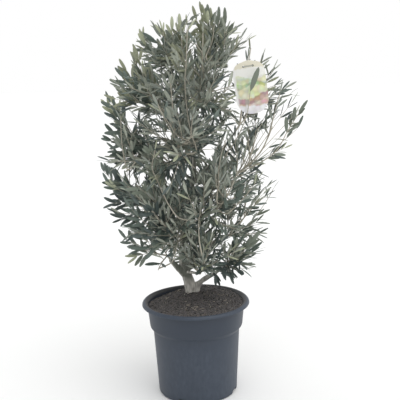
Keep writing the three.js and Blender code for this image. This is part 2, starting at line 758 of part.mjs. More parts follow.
placeCard();
const places = crownPlaces(growth.places).concat(growth.leaders.map((p) => new THREE.Vector3(...p)));
for (const name of Object.keys(masses)) {
  const ends = places.filter((p, i) => {
    const inset = i < growth.places ? growth.tipSpace : 0;
    return insideSpace(name, p, inset, growth.twigRadius);
  });
  add(`foliage_${name}`, massSolid(grow(name, ends)), "foliage");
}

for (const [name, solid] of Object.entries({ label_card: cardSolid(), label_tie: tieSolid() })) {
  const mesh = add(name, solid, "card");
  mesh.position.copy(card.at);
  mesh.rotation.y = -degrees(label.lean);
}

export default part;
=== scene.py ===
import functools
import itertools
import math
import random

import bmesh
import bpy
import numpy as np
from mathutils import Matrix, Vector, kdtree, noise


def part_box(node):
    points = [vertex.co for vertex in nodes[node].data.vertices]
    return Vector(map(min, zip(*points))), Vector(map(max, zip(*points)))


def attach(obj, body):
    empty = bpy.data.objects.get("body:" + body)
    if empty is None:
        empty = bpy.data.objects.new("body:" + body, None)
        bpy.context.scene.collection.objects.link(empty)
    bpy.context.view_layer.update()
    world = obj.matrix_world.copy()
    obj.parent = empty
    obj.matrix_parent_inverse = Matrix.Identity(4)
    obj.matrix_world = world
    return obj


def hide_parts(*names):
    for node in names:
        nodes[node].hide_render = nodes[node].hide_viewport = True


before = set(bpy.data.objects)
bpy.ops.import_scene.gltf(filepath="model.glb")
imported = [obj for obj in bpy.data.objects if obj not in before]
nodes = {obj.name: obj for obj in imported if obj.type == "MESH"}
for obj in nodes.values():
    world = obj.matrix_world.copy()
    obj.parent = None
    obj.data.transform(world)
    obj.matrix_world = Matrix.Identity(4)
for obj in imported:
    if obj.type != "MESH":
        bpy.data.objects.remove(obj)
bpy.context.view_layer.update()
mm = 0.001
up = Vector((0, 0, 1))

# small helpers


def between(a, b, share):
    return a + (b - a) * share


def ease(share):
    share = min(1, max(0, share))
    return share * share * (3 - 2 * share)


def rowAt(rows, z):  # what the rows of a table give at height z
    for low, high in zip(rows, rows[1:]):
        if z <= high[0]:
            share = max(0, (z - low[0]) / (high[0] - low[0]))
            return [between(a, b, share) for a, b in zip(low[1:], high[1:])]
    return rows[-1][1:]


def treeOf(places):  # finds the nearest of these places
    tree = kdtree.KDTree(len(places))
    for i, p in enumerate(places):
        tree.insert(p, i)
    tree.balance()
    return tree


def colourOf(text):  # an sRGB hex value as linear red, green, blue, alpha
    shares = [int(text[i:i + 2], 16) / 255 for i in (0, 2, 4)]
    linear = [c / 12.92 if c <= 0.04045 else ((c + 0.055) / 1.055) ** 2.4 for c in shares]
    return (*linear, 1)


def setSockets(node, sockets):  # by name or in their order: a number, a colour, an output or a node
    for key, value in sockets.items() if isinstance(sockets, dict) else enumerate(sockets):
        if isinstance(value, bpy.types.Node):
            value = next(socket for socket in value.outputs if socket.enabled)
        if isinstance(value, bpy.types.NodeSocket):
            node.id_data.links.new(value, node.inputs[key])
        else:
            node.inputs[key].default_value = value


def addNode(tree, kind, sockets=(), **settings):
    node = tree.nodes.new("ShaderNode" + kind)
    for name, value in settings.items():
        setattr(node, name, value)
    setSockets(node, sockets)
    return node


def newMaterial(name, colour, roughness, more=()):
    material = bpy.data.materials.new(name)
    material.use_nodes = True
    shader = material.node_tree.nodes["Principled BSDF"]
    setSockets(shader, {"Base Color": colourOf(colour), "Roughness": roughness, **dict(more)})
    return material, functools.partial(addNode, material.node_tree), shader


def rampOf(node, tones):
    for stop, (position, tint) in zip(node.color_ramp.elements, tones):
        stop.position = position
        stop.color = colourOf(tint)
    return node


def perMetre(size):  # the scale of a pattern whose features measure this many millimetres
    return 1000 / size


def linked(name, data):  # a new object in the scene
    made = bpy.data.objects.new(name, data)
    bpy.context.scene.collection.objects.link(made)
    return made


def newPiece(name, mesh, materials, slot, *stoodFor):
    piece = linked(name, mesh)
    for material in materials:
        mesh.materials.append(material)
    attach(piece, "root")
    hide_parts(*stoodFor)
    print(name, len(mesh.polygons), "faces")


def meshFrom(bm, name, smooth=True):
    mesh = bpy.data.meshes.new(name)
    bm.to_mesh(mesh)
    bm.free()
    mesh.polygons.foreach_set("use_smooth", [smooth] * len(mesh.polygons))
    return mesh


def evaluated(data, kind=None, **settings):  # a mesh or curve as a mesh, with one modifier applied
    helper = linked("helper", data)
    if kind:
        modifier = helper.modifiers.new(kind, kind)
        for name, value in settings.items():
            setattr(modifier, name, value)
    mesh = bpy.data.meshes.new_from_object(helper.evaluated_get(bpy.context.evaluated_depsgraph_get()))
    bpy.data.objects.remove(helper)
    mesh.materials.clear()
    return mesh


def cutAway(mesh, bm):  # the mesh without what lies in the bmesh
    cutter = linked("cutter", meshFrom(bm, "cutter", False))
    done = evaluated(mesh, "BOOLEAN", object=cutter, operation="DIFFERENCE", solver="EXACT")
    bpy.data.objects.remove(cutter)
    return done


def rounded(bm, edges, offset, segments):
    bmesh.ops.bevel(bm, geom=edges, offset=offset, segments=segments, profile=0.5, affect="EDGES",
                    material=-1)


def tubes(name, lines, roundness):  # each line is its points, its radii in mm and a material number
    curve = bpy.data.curves.new(name, "CURVE")
    curve.dimensions = "3D"
    curve.bevel_depth = mm
    curve.bevel_resolution = roundness
    curve.use_fill_caps = True
    for points, radii, material in lines:
        spline = curve.splines.new("POLY")
        spline.points.add(len(points) - 1)
        spline.points.foreach_set("co", [x for p in points for x in (*(p * mm), 1)])
        spline.points.foreach_set("radius", radii)
        spline.material_index = material
    return evaluated(curve)


def formOf(bm):  # a small shape to be placed many times
    bmesh.ops.triangulate(bm, faces=bm.faces[:])
    bm.normal_update()
    bm.verts.index_update()
    form = {
        "points": np.array([v.co[:] for v in bm.verts]),
        "faces": np.array([[v.index for v in face.verts] for face in bm.faces]),
        "back": np.array([face.normal.z < 0 for face in bm.faces]),
        "rim": np.array([len({f.normal.z < 0 for f in v.link_faces}) > 1 for v in bm.verts]),
    }
    bm.free()
    return form


def joined(name, places):  # thousands of small forms as one mesh, with a material on each of their sides
    corners, faces, tints, rims = [], [], [], []
    start = 0
    for form, basis, root, front, back in places:
        corners.append(form["points"] @ basis.T + root)
        faces.append(form["faces"] + start)
        tints.append(np.where(form["back"], back, front))
        rims.append(form["rim"])
        start += len(form["points"])
    mesh = bpy.data.meshes.new(name)
    mesh.from_pydata((np.concatenate(corners) * mm).tolist(), [], np.concatenate(faces).tolist())
    mesh.polygons.foreach_set("material_index", np.concatenate(tints).astype(np.int32))
    mesh.polygons.foreach_set("use_smooth", [True] * len(mesh.polygons))
    ends = np.empty(len(mesh.edges) * 2, np.int32)
    mesh.edges.foreach_get("vertices", ends)
    rim = np.concatenate(rims)[ends.reshape(-1, 2)].all(axis=1)
    mesh.attributes.new("sharp_edge", "BOOLEAN", "EDGE").data.foreach_set("value", rim)
    return mesh


# camera and light

view = {
    "place": (0.0236, -2.3, 1.0721),
    "pitch": 0.1798,  # radians down from level
    "roll": 0.0272,
    "lens": 64.1,
    "sensor": 36,
}
light = {
    # white, greyer behind the camera and on the left
    "roomBack": "ffffff", "roomFront": "b8babc", "roomLeft": 0.4, "roomFade": (-0.9, 0.2),
    "sunFrom": (0.34, -0.6, 1.05), "sunStrength": 1.2, "sunSpread": 70,
    "floorColour": "f7f7f6", "floorHalf": 40, "floorDrop": 0.5,
}


def setCamera():
    c, s = math.cos(view["pitch"]), math.sin(view["pitch"])
    ahead, right, above = Vector((0, c, -s)), Vector((1, 0, 0)), Vector((0, s, c))
    c, s = math.cos(view["roll"]), math.sin(view["roll"])
    aim = Matrix((right * c - above * s, right * s + above * c, -ahead)).transposed()
    data = bpy.data.cameras.new("photoCamera")
    data.lens = view["lens"]
    data.sensor_width = view["sensor"]
    camera = linked("photoCamera", data)
    camera.matrix_world = Matrix.Translation(view["place"]) @ aim.to_4x4()
    bpy.context.scene.camera = camera


def setLight():
    world = bpy.data.worlds.new("paleRoom")
    world.use_nodes = True
    add = functools.partial(addNode, world.node_tree)
    way = add("TexCoord").outputs["Generated"]
    x, y, _ = add("SeparateXYZ", [way]).outputs
    ahead = add("Math", [x, light["roomLeft"], y], operation="MULTIPLY_ADD")
    share = add("MapRange", [ahead, *light["roomFade"]])
    front, back = colourOf(light["roomFront"]), colourOf(light["roomBack"])
    tone = add("Mix", {"Factor": share, "A": front, "B": back}, data_type="RGBA")
    setSockets(world.node_tree.nodes["Background"], {"Color": tone})
    bpy.context.scene.world = world
    bpy.context.scene.view_settings.view_transform = "Standard"
    lamp = bpy.data.lights.new("softSun", "SUN")
    lamp.energy = light["sunStrength"]
    lamp.angle = math.radians(light["sunSpread"])
    holder = linked("softSun", lamp)
    holder.rotation_euler = Vector(light["sunFrom"]).to_track_quat("Z", "Y").to_euler()
    bm = bmesh.new()
    bmesh.ops.create_grid(bm, x_segments=1, y_segments=1, size=light["floorHalf"])
    floor = linked("paleFloor", meshFrom(bm, "paleFloor"))
    # painted board, matt and nearly white
    floor.data.materials.append(newMaterial("paintedBoard", light["floorColour"], 0.9)[0])
    floor.location.z = -light["floorDrop"] * mm


setCamera()
setLight()
print("camera and light")

# the pot, in mm: radius and height of the corners of its section

pot = {
    "outside": ((0, 0), (132.5, 0), (145, 219), (155.5, 232), (163, 303), (171, 311), (177, 307), (177, 304),
                (180, 304), (180, 310), (172, 316)),
    "inside": ((160, 308), (152.5, 232), (142, 219), (129.5, 4), (0, 4)),
    "steps": 144,
    # which corners are rounded, and by how much
    "roundings": (((132.5, 0), 7), ((145, 219), 3), ((155.5, 232), 3), ((180, 310), 4.5), ((172, 316), 4),
                  ((160, 308), 3), ((180, 304), 0.8), ((177, 304), 0.8), ((177, 307), 1), ((171, 311), 1),
                  ((163, 303), 1.5), ((152.5, 232), 3), ((142, 219), 3)),
    "roundSteps": 4, "sharpFrom": 40,
    # notches that let water out: how far in from the wall, width and height
    "drains": 4, "drainReach": 16, "drainWidth": 42, "drainHeight": 14, "drainBearing": -20,
    "drainRound": 6, "drainRoundSteps": 5,
    # its grey, and what lies over it: dust, painted shade on the collar under the rim, and compost dust with
    # painted shade on the rim
    "grey": "353e4b", "dust": "5e6876", "collarShade": "2f3845", "soiledShaded": "2b2928",
    "pebble": 3, "clouds": 90, "runs": 11,  # sizes of the patterns
    "roughness": (0.4, 0.62),
}


def spinProfile(points, steps):
    bm = bmesh.new()
    row = [bm.verts.new((r * mm, 0, z * mm)) for r, z in points]
    edges = [bm.edges.new(pair) for pair in zip(row, row[1:])]
    bmesh.ops.spin(bm, geom=row + edges, axis=(0, 0, 1), cent=(0, 0, 0), steps=steps,
                   angle=2 * math.pi, use_merge=True)
    bmesh.ops.remove_doubles(bm, verts=bm.verts[:], dist=0.01 * mm)
    bmesh.ops.recalc_face_normals(bm, faces=bm.faces[:])
    return bm


def ringEdges(bm, r, z):  # the ring of edges at one corner of the section
    def onRing(v):
        return abs(v.co.z - z * mm) < 0.05 * mm and abs(v.co.xy.length - r * mm) < 0.05 * mm
    return [e for e in bm.edges if onRing(e.verts[0]) and onRing(e.verts[1])]


def drained(mesh, slack):  # the mesh without the notches, each larger by slack all round
    foot = Matrix.Translation((pot["outside"][1][0] * mm, 0, 0))
    reach = 2 * (pot["drainReach"] + slack) * mm
    width = (pot["drainWidth"] + 2 * slack) * mm
    height = 2 * (pot["drainHeight"] + slack) * mm
    cutters = bmesh.new()
    for i in range(pot["drains"]):
        turn = Matrix.Rotation(math.radians(pot["drainBearing"] + i * 360 / pot["drains"]), 4, "Z")
        size = Matrix.Diagonal((reach, width, height, 1))
        bmesh.ops.create_cube(cutters, size=1, matrix=turn @ foot @ size)
    above = [e for e in cutters.edges if min(v.co.z for v in e.verts) > 0]
    inwards = [e for e in above if abs(e.calc_length() - reach) < 0.1 * mm]
    rounded(cutters, inwards, pot["drainRound"] * mm, pot["drainRoundSteps"])
    return cutAway(mesh, cutters)


def makePot():
    # polypropylene, injection moulded: even slate grey, faintly pebbled, with dust in soft clouds and runs
    material, add, shader = newMaterial("mouldedPolypropylene", "3f4650", 0.5)
    place = add("TexCoord").outputs["Object"]
    # the pebble is finer in life, and is as coarse here as it needs to show
    pebble = add("TexNoise", {"Vector": place, "Scale": perMetre(pot["pebble"]), "Detail": 3})
    clouds = add("TexNoise", {"Vector": place, "Scale": perMetre(pot["clouds"]), "Detail": 4})
    tall = add("Mapping", {"Vector": place, "Scale": (1, 1, 0.5)})
    runs = add("TexNoise", {"Vector": tall, "Scale": perMetre(pot["runs"]), "Detail": 4})
    worn = add("Math", [clouds, runs], operation="MULTIPLY")
    dust = add("MapRange", [worn, 0.18, 0.4, 0, 0.16])
    # painted shade under the rim: the collar is darker than the rest
    _, y, z = add("SeparateXYZ", [place]).outputs
    above = add("MapRange", [z, 170 * mm, 236 * mm])
    below = add("MapRange", [z, 305 * mm, 300 * mm])
    collar = add("Math", [above, below], operation="MULTIPLY")
    # compost dust clings to the inner slope of the rim, and at the back painted shade darkens more of it
    level = add("Mapping", {"Vector": place, "Scale": (1, 1, 0)})
    out = add("VectorMath", [level], operation="LENGTH")
    blown = add("Math", [pebble, 8 * mm, out], operation="MULTIPLY_ADD")
    back = add("MapRange", [y, 20 * mm, 170 * mm, 0, -11 * mm])
    darkReach = add("Math", [blown, back])
    slope = add("MapRange", [darkReach, 170 * mm, 177 * mm, 0.8, 0])
    high = add("MapRange", [z, 302 * mm, 308 * mm])
    dirtAndShade = add("Math", [slope, high], operation="MULTIPLY")
    colour = colourOf(pot["grey"])
    for share, over in ((dust, pot["dust"]), (collar, pot["collarShade"]), (dirtAndShade, pot["soiledShaded"])):
        colour = add("Mix", {"Factor": share, "A": colour, "B": colourOf(over)}, data_type="RGBA")
    dull = add("MapRange", [clouds, 0, 1, *pot["roughness"]])
    bump = add("Bump", {"Height": pebble, "Strength": 0.25, "Distance": 0.4 * mm})
    setSockets(shader, {"Base Color": colour, "Roughness": dull, "Normal": bump})

    bm = spinProfile(pot["outside"] + pot["inside"], pot["steps"])
    for (r, z), amount in pot["roundings"]:
        rounded(bm, ringEdges(bm, r, z), amount * mm, pot["roundSteps"])
    mesh = drained(meshFrom(bm, "potShell"), 0)
    mesh.set_sharp_from_angle(angle=math.radians(pot["sharpFrom"]))
    newPiece("nurseryPot", mesh, [material], "pot_plastic", "pot")


makePot()

# the compost, in mm

compost = {
    # levels at the edge and at the trunk's foot, how wide the mound and its flat top are, and the dip in it
    "edge": 306, "crest": 323, "mound": 150, "seat": 34,
    "dip": 18, "dipBearing": 135, "dipFall": 4, "dipReach": 160,
    # where the trunk stands, how far the compost reaches, and how much further for each mm above the rim
    "foot": (-16, 68), "rim": 158, "spill": 1.5, "divisions": 64, "steps": 200,
    # its section below the top, and how much larger its notches are than the pot's
    "wall": ((0, 4.3), (119.5, 4.3), (128.5, 10), (141, 219), (151.5, 233)), "slack": 1,
    "clods": ((14, 1.6), (5, 1.3), (2.2, 0.7)),  # size and height of the relief
    "crumb": 4, "crumbTones": ((0.35, "201e1f"), (0.68, "706c6b")),
    "tints": ("2a2828", "454242", "5a5654", "726a62", "a39a8c", "d6d0c2"),
    "tintWeights": (36, 28, 18, 12, 5, 1), "strawFrom": 3,
    # loose bits: how many of them are grains and chips, and length, width and height to their size
    "bits": 2600, "seed": 5, "bitReach": 0.99, "bitSize": (1.5, 3.6), "bitTilt": 0.9,
    "grains": 0.55, "grain": (1, 0.8, 0.6), "chips": 0.9, "chip": (1.5, 0.9, 0.35),
    "strawEnd": (4, 0.7, 0.6),  # straw and root ends: length to its size, and width and height
    "strawSize": (1.1, 0.9), "strawTilt": -0.12, "strawLift": 2,
    # straws that catch the eye: x, y, bearing and length
    "straws": ((2, -78, 62, 26), (-6, -84, 128, 30), (-2, -70, 20, 18), (-22, -52, 40, 16),
               (-26, -58, 150, 14), (20, -84, 10, 15), (48, -70, 75, 10), (-96, 18, 60, 22),
               (-100, 26, 100, 18), (98, -8, 30, 14), (84, 32, 160, 18), (108, 40, 100, 16),
               (-62, 96, 72, 24), (-58, 100, 55, 20)),
}


def compostLevel(x, y):
    fromTrunk = math.hypot(x - compost["foot"][0], y - compost["foot"][1])
    mound = max(0, 1 - max(0, fromTrunk - compost["seat"]) / compost["mound"])
    outwards = min(1, math.hypot(x, y) / compost["dipReach"]) * (mound < 1)
    bearing = math.atan2(y, x) - math.radians(compost["dipBearing"])
    dip = compost["dip"] * max(0, math.cos(bearing)) ** compost["dipFall"] * outwards * outwards
    return compost["edge"] + (compost["crest"] - compost["edge"]) * mound * mound * (3 - 2 * mound) - dip


def compostReach(x, y):  # how far it spreads that way: where it lies high it spills on to the rim's slope
    out = math.hypot(x, y) or 1
    high = compostLevel(x / out * compost["rim"], y / out * compost["rim"]) - pot["inside"][0][1]
    return compost["rim"] + compost["spill"] * max(0, high)


def compostTop(x, y):  # its level with the clods on it
    relief = sum(high * noise.noise(Vector((x / size, y / size, size))) for size, high in compost["clods"])
    return compostLevel(x, y) + relief


def scatteredBits(pick, grain, chip):
    places = []
    for _ in range(compost["bits"]):
        far, bearing = compost["bitReach"] * math.sqrt(pick.random()), pick.random() * 2 * math.pi
        reach = compostReach(math.cos(bearing), math.sin(bearing))
        x, y = far * reach * math.cos(bearing), far * reach * math.sin(bearing)
        size = compost["bitSize"][0] + compost["bitSize"][1] * pick.random() ** 3
        kind = pick.random()
        isStraw = kind >= compost["chips"]
        if kind < compost["grains"]:
            form, scale = grain, [size * share for share in compost["grain"]]
        elif isStraw:
            form, scale = chip, [size * compost["strawEnd"][0], *compost["strawEnd"][1:]]
        else:
            form, scale = chip, [size * share for share in compost["chip"]]
        turn = Matrix.Rotation(pick.random() * 2 * math.pi, 3, "Z")
        turn = turn @ Matrix.Rotation((pick.random() - 0.5) * compost["bitTilt"], 3, "X")
        root = np.array([x, y, compostTop(x, y) + scale[2] * 0.25])
        tint = pick.choices(range(len(compost["tints"])), compost["tintWeights"])[0]
        tint = max(tint, compost["strawFrom"]) if isStraw else tint
        places.append((form, np.array(turn) @ np.diag(scale), root, tint, tint))
    return places


def makeCompost():
    # peat-free compost: dark, dry on top, crumbly, with bark fines and a little straw
    material, add, shader = newMaterial("barkCompost", compost["tints"][1], 0.95)
    place = add("TexCoord").outputs["Object"]
    size = perMetre(compost["crumb"])
    crumb = add("TexNoise", {"Vector": place, "Scale": size, "Detail": 6, "Roughness": 0.7})
    tone = rampOf(add("ValToRGB", [crumb]), compost["crumbTones"])
    bump = add("Bump", {"Height": crumb, "Strength": 0.7, "Distance": 1.5 * mm})
    setSockets(shader, {"Base Color": tone, "Normal": bump})
    bits = [newMaterial(f"compostBit{i}", tint, 0.9)[0] for i, tint in enumerate(compost["tints"])]

    count = compost["divisions"]
    top = [(compost["rim"] * (1 - i / count), compost["edge"]) for i in range(count + 1)]
    bm = spinProfile(list(compost["wall"]) + top, compost["steps"])
    for v in bm.verts:
        if v.co.z > (compost["edge"] - 0.5) * mm:
            v.co.xy *= compostReach(*v.co.xy) / compost["rim"]
            x, y = v.co.xy / mm
            v.co.z = compostTop(x, y) * mm
    body = drained(meshFrom(bm, "compostBody"), compost["slack"])
    newPiece("compostBody", body, [material], "compost", "soil")

    grain = bmesh.new()
    bmesh.ops.create_icosphere(grain, subdivisions=1, radius=0.5)
    chip = bmesh.new()
    bmesh.ops.create_cube(chip, size=1)
    upright = [e for e in chip.edges if abs(e.verts[0].co.z - e.verts[1].co.z) > 0.5]
    rounded(chip, upright, 0.25, 1)
    chip = formOf(chip)
    places = scatteredBits(random.Random(compost["seed"]), formOf(grain), chip)
    for x, y, bearing, length in compost["straws"]:
        turn = Matrix.Rotation(math.radians(bearing), 3, "Z") @ Matrix.Rotation(compost["strawTilt"], 3, "Y")
        root = np.array([x, y, compostTop(x, y) + compost["strawLift"]])
        places.append((chip, np.array(turn) @ np.diag((length, *compost["strawSize"])), root, 4, 5))
    newPiece("compostBits", joined("compostBits", places), bits, "compost", "soil")


makeCompost()

# trunk and boughs, in mm, as the solids have them: height, x, y and radius of the trunk

trunk = {
    "course": ((314, -16, 68, 23.5), (322, -16, 68, 21.8), (330, -17, 67, 20.5), (352, -20, 66, 19.5),
               (405, -35, 61, 16), (460, -41, 56, 13.8), (600, -19, 47, 10), (760, 7, 42, 7),
               (860, 4, 40, 5.6), (970, -14, 40, 4.4), (1078, -8, 40, 3.2)),
    # a thick web in the crotch of the lowest limb: x, y, z and radius
    "web": ((-2, 64, 312, 12), (4, 61, 336, 11), (14, 57, 354, 9), (34, 51, 373, 7.6), (56, 42, 389, 6.6)),
    "voxel": 1.7, "smoothings": 4, "roundness": 5,
    # relief of the bark: heights, and how wide and long it is
    "fissure": 0.55, "fissureSize": (4, 26), "knot": 0.9, "knotSize": 15, "fullFrom": 16,
    # the foot's flare: up to where, and how many lobes, from which angle and how far they stand out
    "flareTop": 350, "flareFade": 34, "flareLobes": ((3, 0.6, 1.7), (5, 0, 0.85)),
    "grain": 5, "grainTones": ((0.36, "98958d"), (0.62, "d4d0c8")),
    # pale patches, and painted shade high on the trunk: its tint and the heights over which it comes in
    "patches": 28, "patchTint": "dcd9d0", "barkShadeTint": "5c6157", "barkShadeFrom": (378, 400),
}
axisY = 40  # the crown's middle
# fork height, bearing, how far out and how high it ends, radius, and how far out and high its
# foliage has its heart
boughs = {
    "right_low": (338, -6, 86, 408, 8, 166, 440),
    "left_low": (380, 184, 82, 446, 12, 164, 482),
    "front_low": (396, 282, 34, 404, 6, 136, 458),
    "back_low": (400, 80, 56, 408, 6.5, 150, 454),
    "right_mid": (456, 6, 96, 508, 7, 186, 594),
    "left_mid": (530, 176, 86, 586, 6, 206, 650),
    "front_left": (490, 232, 66, 524, 5.5, 166, 604),
    "back_left": (510, 124, 72, 550, 5.5, 170, 614),
    "front_right": (560, 307, 72, 604, 5.5, 170, 672),
    "back_right": (590, 50, 76, 630, 5.5, 176, 686),
    "right_arch": (645, -4, 126, 716, 5.5, 232, 812),
    "right_high": (700, -8, 150, 880, 5.5, 184, 1046),
    "left_upper": (716, 178, 80, 780, 5, 206, 862),
    "front_mid": (738, 254, 60, 780, 4.5, 152, 856),
    "back_mid": (766, 98, 66, 808, 4.5, 164, 876),
    "left_high": (842, 178, 76, 930, 4.3, 156, 1040),
    "front_high": (870, 290, 44, 950, 4, 108, 1036),
    "back_high": (892, 72, 52, 968, 4, 120, 1054),
    "top_right": (985, 4, 54, 1064, 3.8, 92, 1150),
}
leaderHeart = (66, 1150)
limb = {
    # the boughs' taper, sweep and rise, their collar at the trunk, and how finely they are divided
    "tipShare": 0.62, "sweep": 0.55, "lift": 0.44, "collar": 0.4, "collarLength": 22, "step": 8, "fewest": 6,
}


def smoothCourse(points, step):  # a centripetal curve through the points, a place every step or so
    row = [points[0] * 2 - points[1], *points, points[-1] * 2 - points[-2]]
    line = []
    for p0, p1, p2, p3 in zip(row, row[1:], row[2:], row[3:]):
        t1 = (p1 - p0).length ** 0.5
        t2 = t1 + (p2 - p1).length ** 0.5
        t3 = t2 + (p3 - p2).length ** 0.5
        count = max(1, round((p2 - p1).length / step))
        for i in range(count):
            t = between(t1, t2, i / count)
            a1 = between(p0, p1, t / t1)
            a2 = between(p1, p2, (t - t1) / (t2 - t1))
            a3 = between(p2, p3, (t - t2) / (t3 - t2))
            b1, b2 = between(a1, a2, t / t2), between(a2, a3, (t - t1) / (t3 - t1))
            line.append(between(b1, b2, (t - t1) / (t2 - t1)))
    return [*line, points[-1]]


def arc(start, turn, end, count):
    shares = [i / count for i in range(count + 1)]
    return [start * (1 - t) ** 2 + turn * 2 * t * (1 - t) + end * t * t for t in shares]


def aroundAxis(bearing, out, z):
    angle = math.radians(bearing)
    return Vector((out * math.cos(angle), axisY + out * math.sin(angle), z))


def trunkAt(z):  # x, y and radius at height z
    return rowAt(trunk["course"], z)


def boughLine(fork, bearing, out, top, *_):
    x, y, _ = trunkAt(fork)
    start, end = Vector((x, y, fork)), aroundAxis(bearing, out, top)
    turn = between(start, end, limb["sweep"])
    turn.z = between(fork, top, limb["lift"])
    return arc(start, turn, end, max(limb["fewest"], round((end - start).length / limb["step"])))


trunkLine = smoothCourse([Vector((x, y, z)) for z, x, y, _ in trunk["course"]], limb["step"])
boughLines = {name: boughLine(*facts) for name, facts in boughs.items()}


def boughRadii(name):
    line, r = boughLines[name], boughs[name][4]
    radii = []
    gone = 0
    for i, p in enumerate(line):
        gone += (p - line[max(0, i - 1)]).length
        collar = 1 + limb["collar"] * math.exp(-gone / limb["collarLength"])
        radii.append(r * between(1, limb["tipShare"], i / (len(line) - 1)) * collar)
    return radii


def barkLift(x, y, z):  # how far the bark stands out there
    share = min(1, trunkAt(z)[2] / trunk["fullFrom"])
    wide, tall = trunk["fissureSize"]
    size = trunk["knotSize"]
    long = noise.noise(Vector((x / wide, y / wide, z / tall)))
    knot = noise.noise(Vector((x / size, y / size, z / size + 7)))
    lift = trunk["fissure"] * share * long + trunk["knot"] * share * max(0, knot)
    if z < trunk["flareTop"]:
        bearing = math.atan2(y - compost["foot"][1], x - compost["foot"][0])
        lobes = sum(out * math.cos(count * bearing + turn) for count, turn, out in trunk["flareLobes"])
        lift += lobes * ease((trunk["flareTop"] - z) / trunk["flareFade"])
    return lift


def makeBark():
    # young olive bark: smooth grey with long shallow fissures, paler where it has dried
    material, add, shader = newMaterial("oliveBark", "77756a", 0.85)
    place = add("TexCoord").outputs["Object"]
    tall = add("Mapping", {"Vector": place, "Scale": (1, 1, 0.22)})
    grain = add("TexNoise", {"Vector": tall, "Scale": perMetre(trunk["grain"]), "Detail": 5})
    patch = add("TexNoise", {"Vector": place, "Scale": perMetre(trunk["patches"]), "Detail": 3})
    tone = rampOf(add("ValToRGB", [grain]), trunk["grainTones"])
    pale = add("MapRange", [patch, 0.5, 0.7, 0, 0.45])
    # painted shade under the crown, on the sides away from the left
    _, _, z = add("SeparateXYZ", [place]).outputs
    rise = add("Math", [grain, 40 * mm, z], operation="MULTIPLY_ADD")
    low, full = trunk["barkShadeFrom"]
    high = add("MapRange", [rise, low * mm, full * mm, 0, 0.85])
    facing = add("NewGeometry").outputs["Normal"]
    aside, _, _ = add("SeparateXYZ", [facing]).outputs
    shadedSide = add("MapRange", [aside, -0.65, -0.05])
    barkShade = add("Math", [high, shadedSide], operation="MULTIPLY")
    colour = tone
    for share, over in ((pale, trunk["patchTint"]), (barkShade, trunk["barkShadeTint"])):
        colour = add("Mix", {"Factor": share, "A": colour, "B": colourOf(over)}, data_type="RGBA")
    bump = add("Bump", {"Height": grain, "Strength": 0.5, "Distance": 0.8 * mm})
    setSockets(shader, {"Base Color": colour, "Normal": bump})

    lines = [(trunkLine, [trunkAt(p.z)[2] for p in trunkLine], 0)]
    lines += [(line, boughRadii(name), 0) for name, line in boughLines.items()]
    lines.append(([Vector(place) for *place, _ in trunk["web"]], [r for *_, r in trunk["web"]], 0))
    mesh = evaluated(tubes("limbTubes", lines, trunk["roundness"]), "REMESH", mode="VOXEL",
                     voxel_size=trunk["voxel"] * mm, adaptivity=0)
    bm = bmesh.new()
    bm.from_mesh(mesh)
    for _ in range(trunk["smoothings"]):
        bmesh.ops.smooth_vert(bm, verts=bm.verts[:], factor=0.5, use_axis_x=True, use_axis_y=True,
                              use_axis_z=True)
    bm.normal_update()
    for v in bm.verts:
        v.co += v.normal * barkLift(*(v.co / mm)) * mm
    newPiece("barkLimbs", meshFrom(bm, "barkLimbs"), [material], "bark", "trunk",
             *[f"bough_{name}" for name in boughs])


makeBark()

# the crown, in mm: how far it reaches to the left and right of its axis, by height

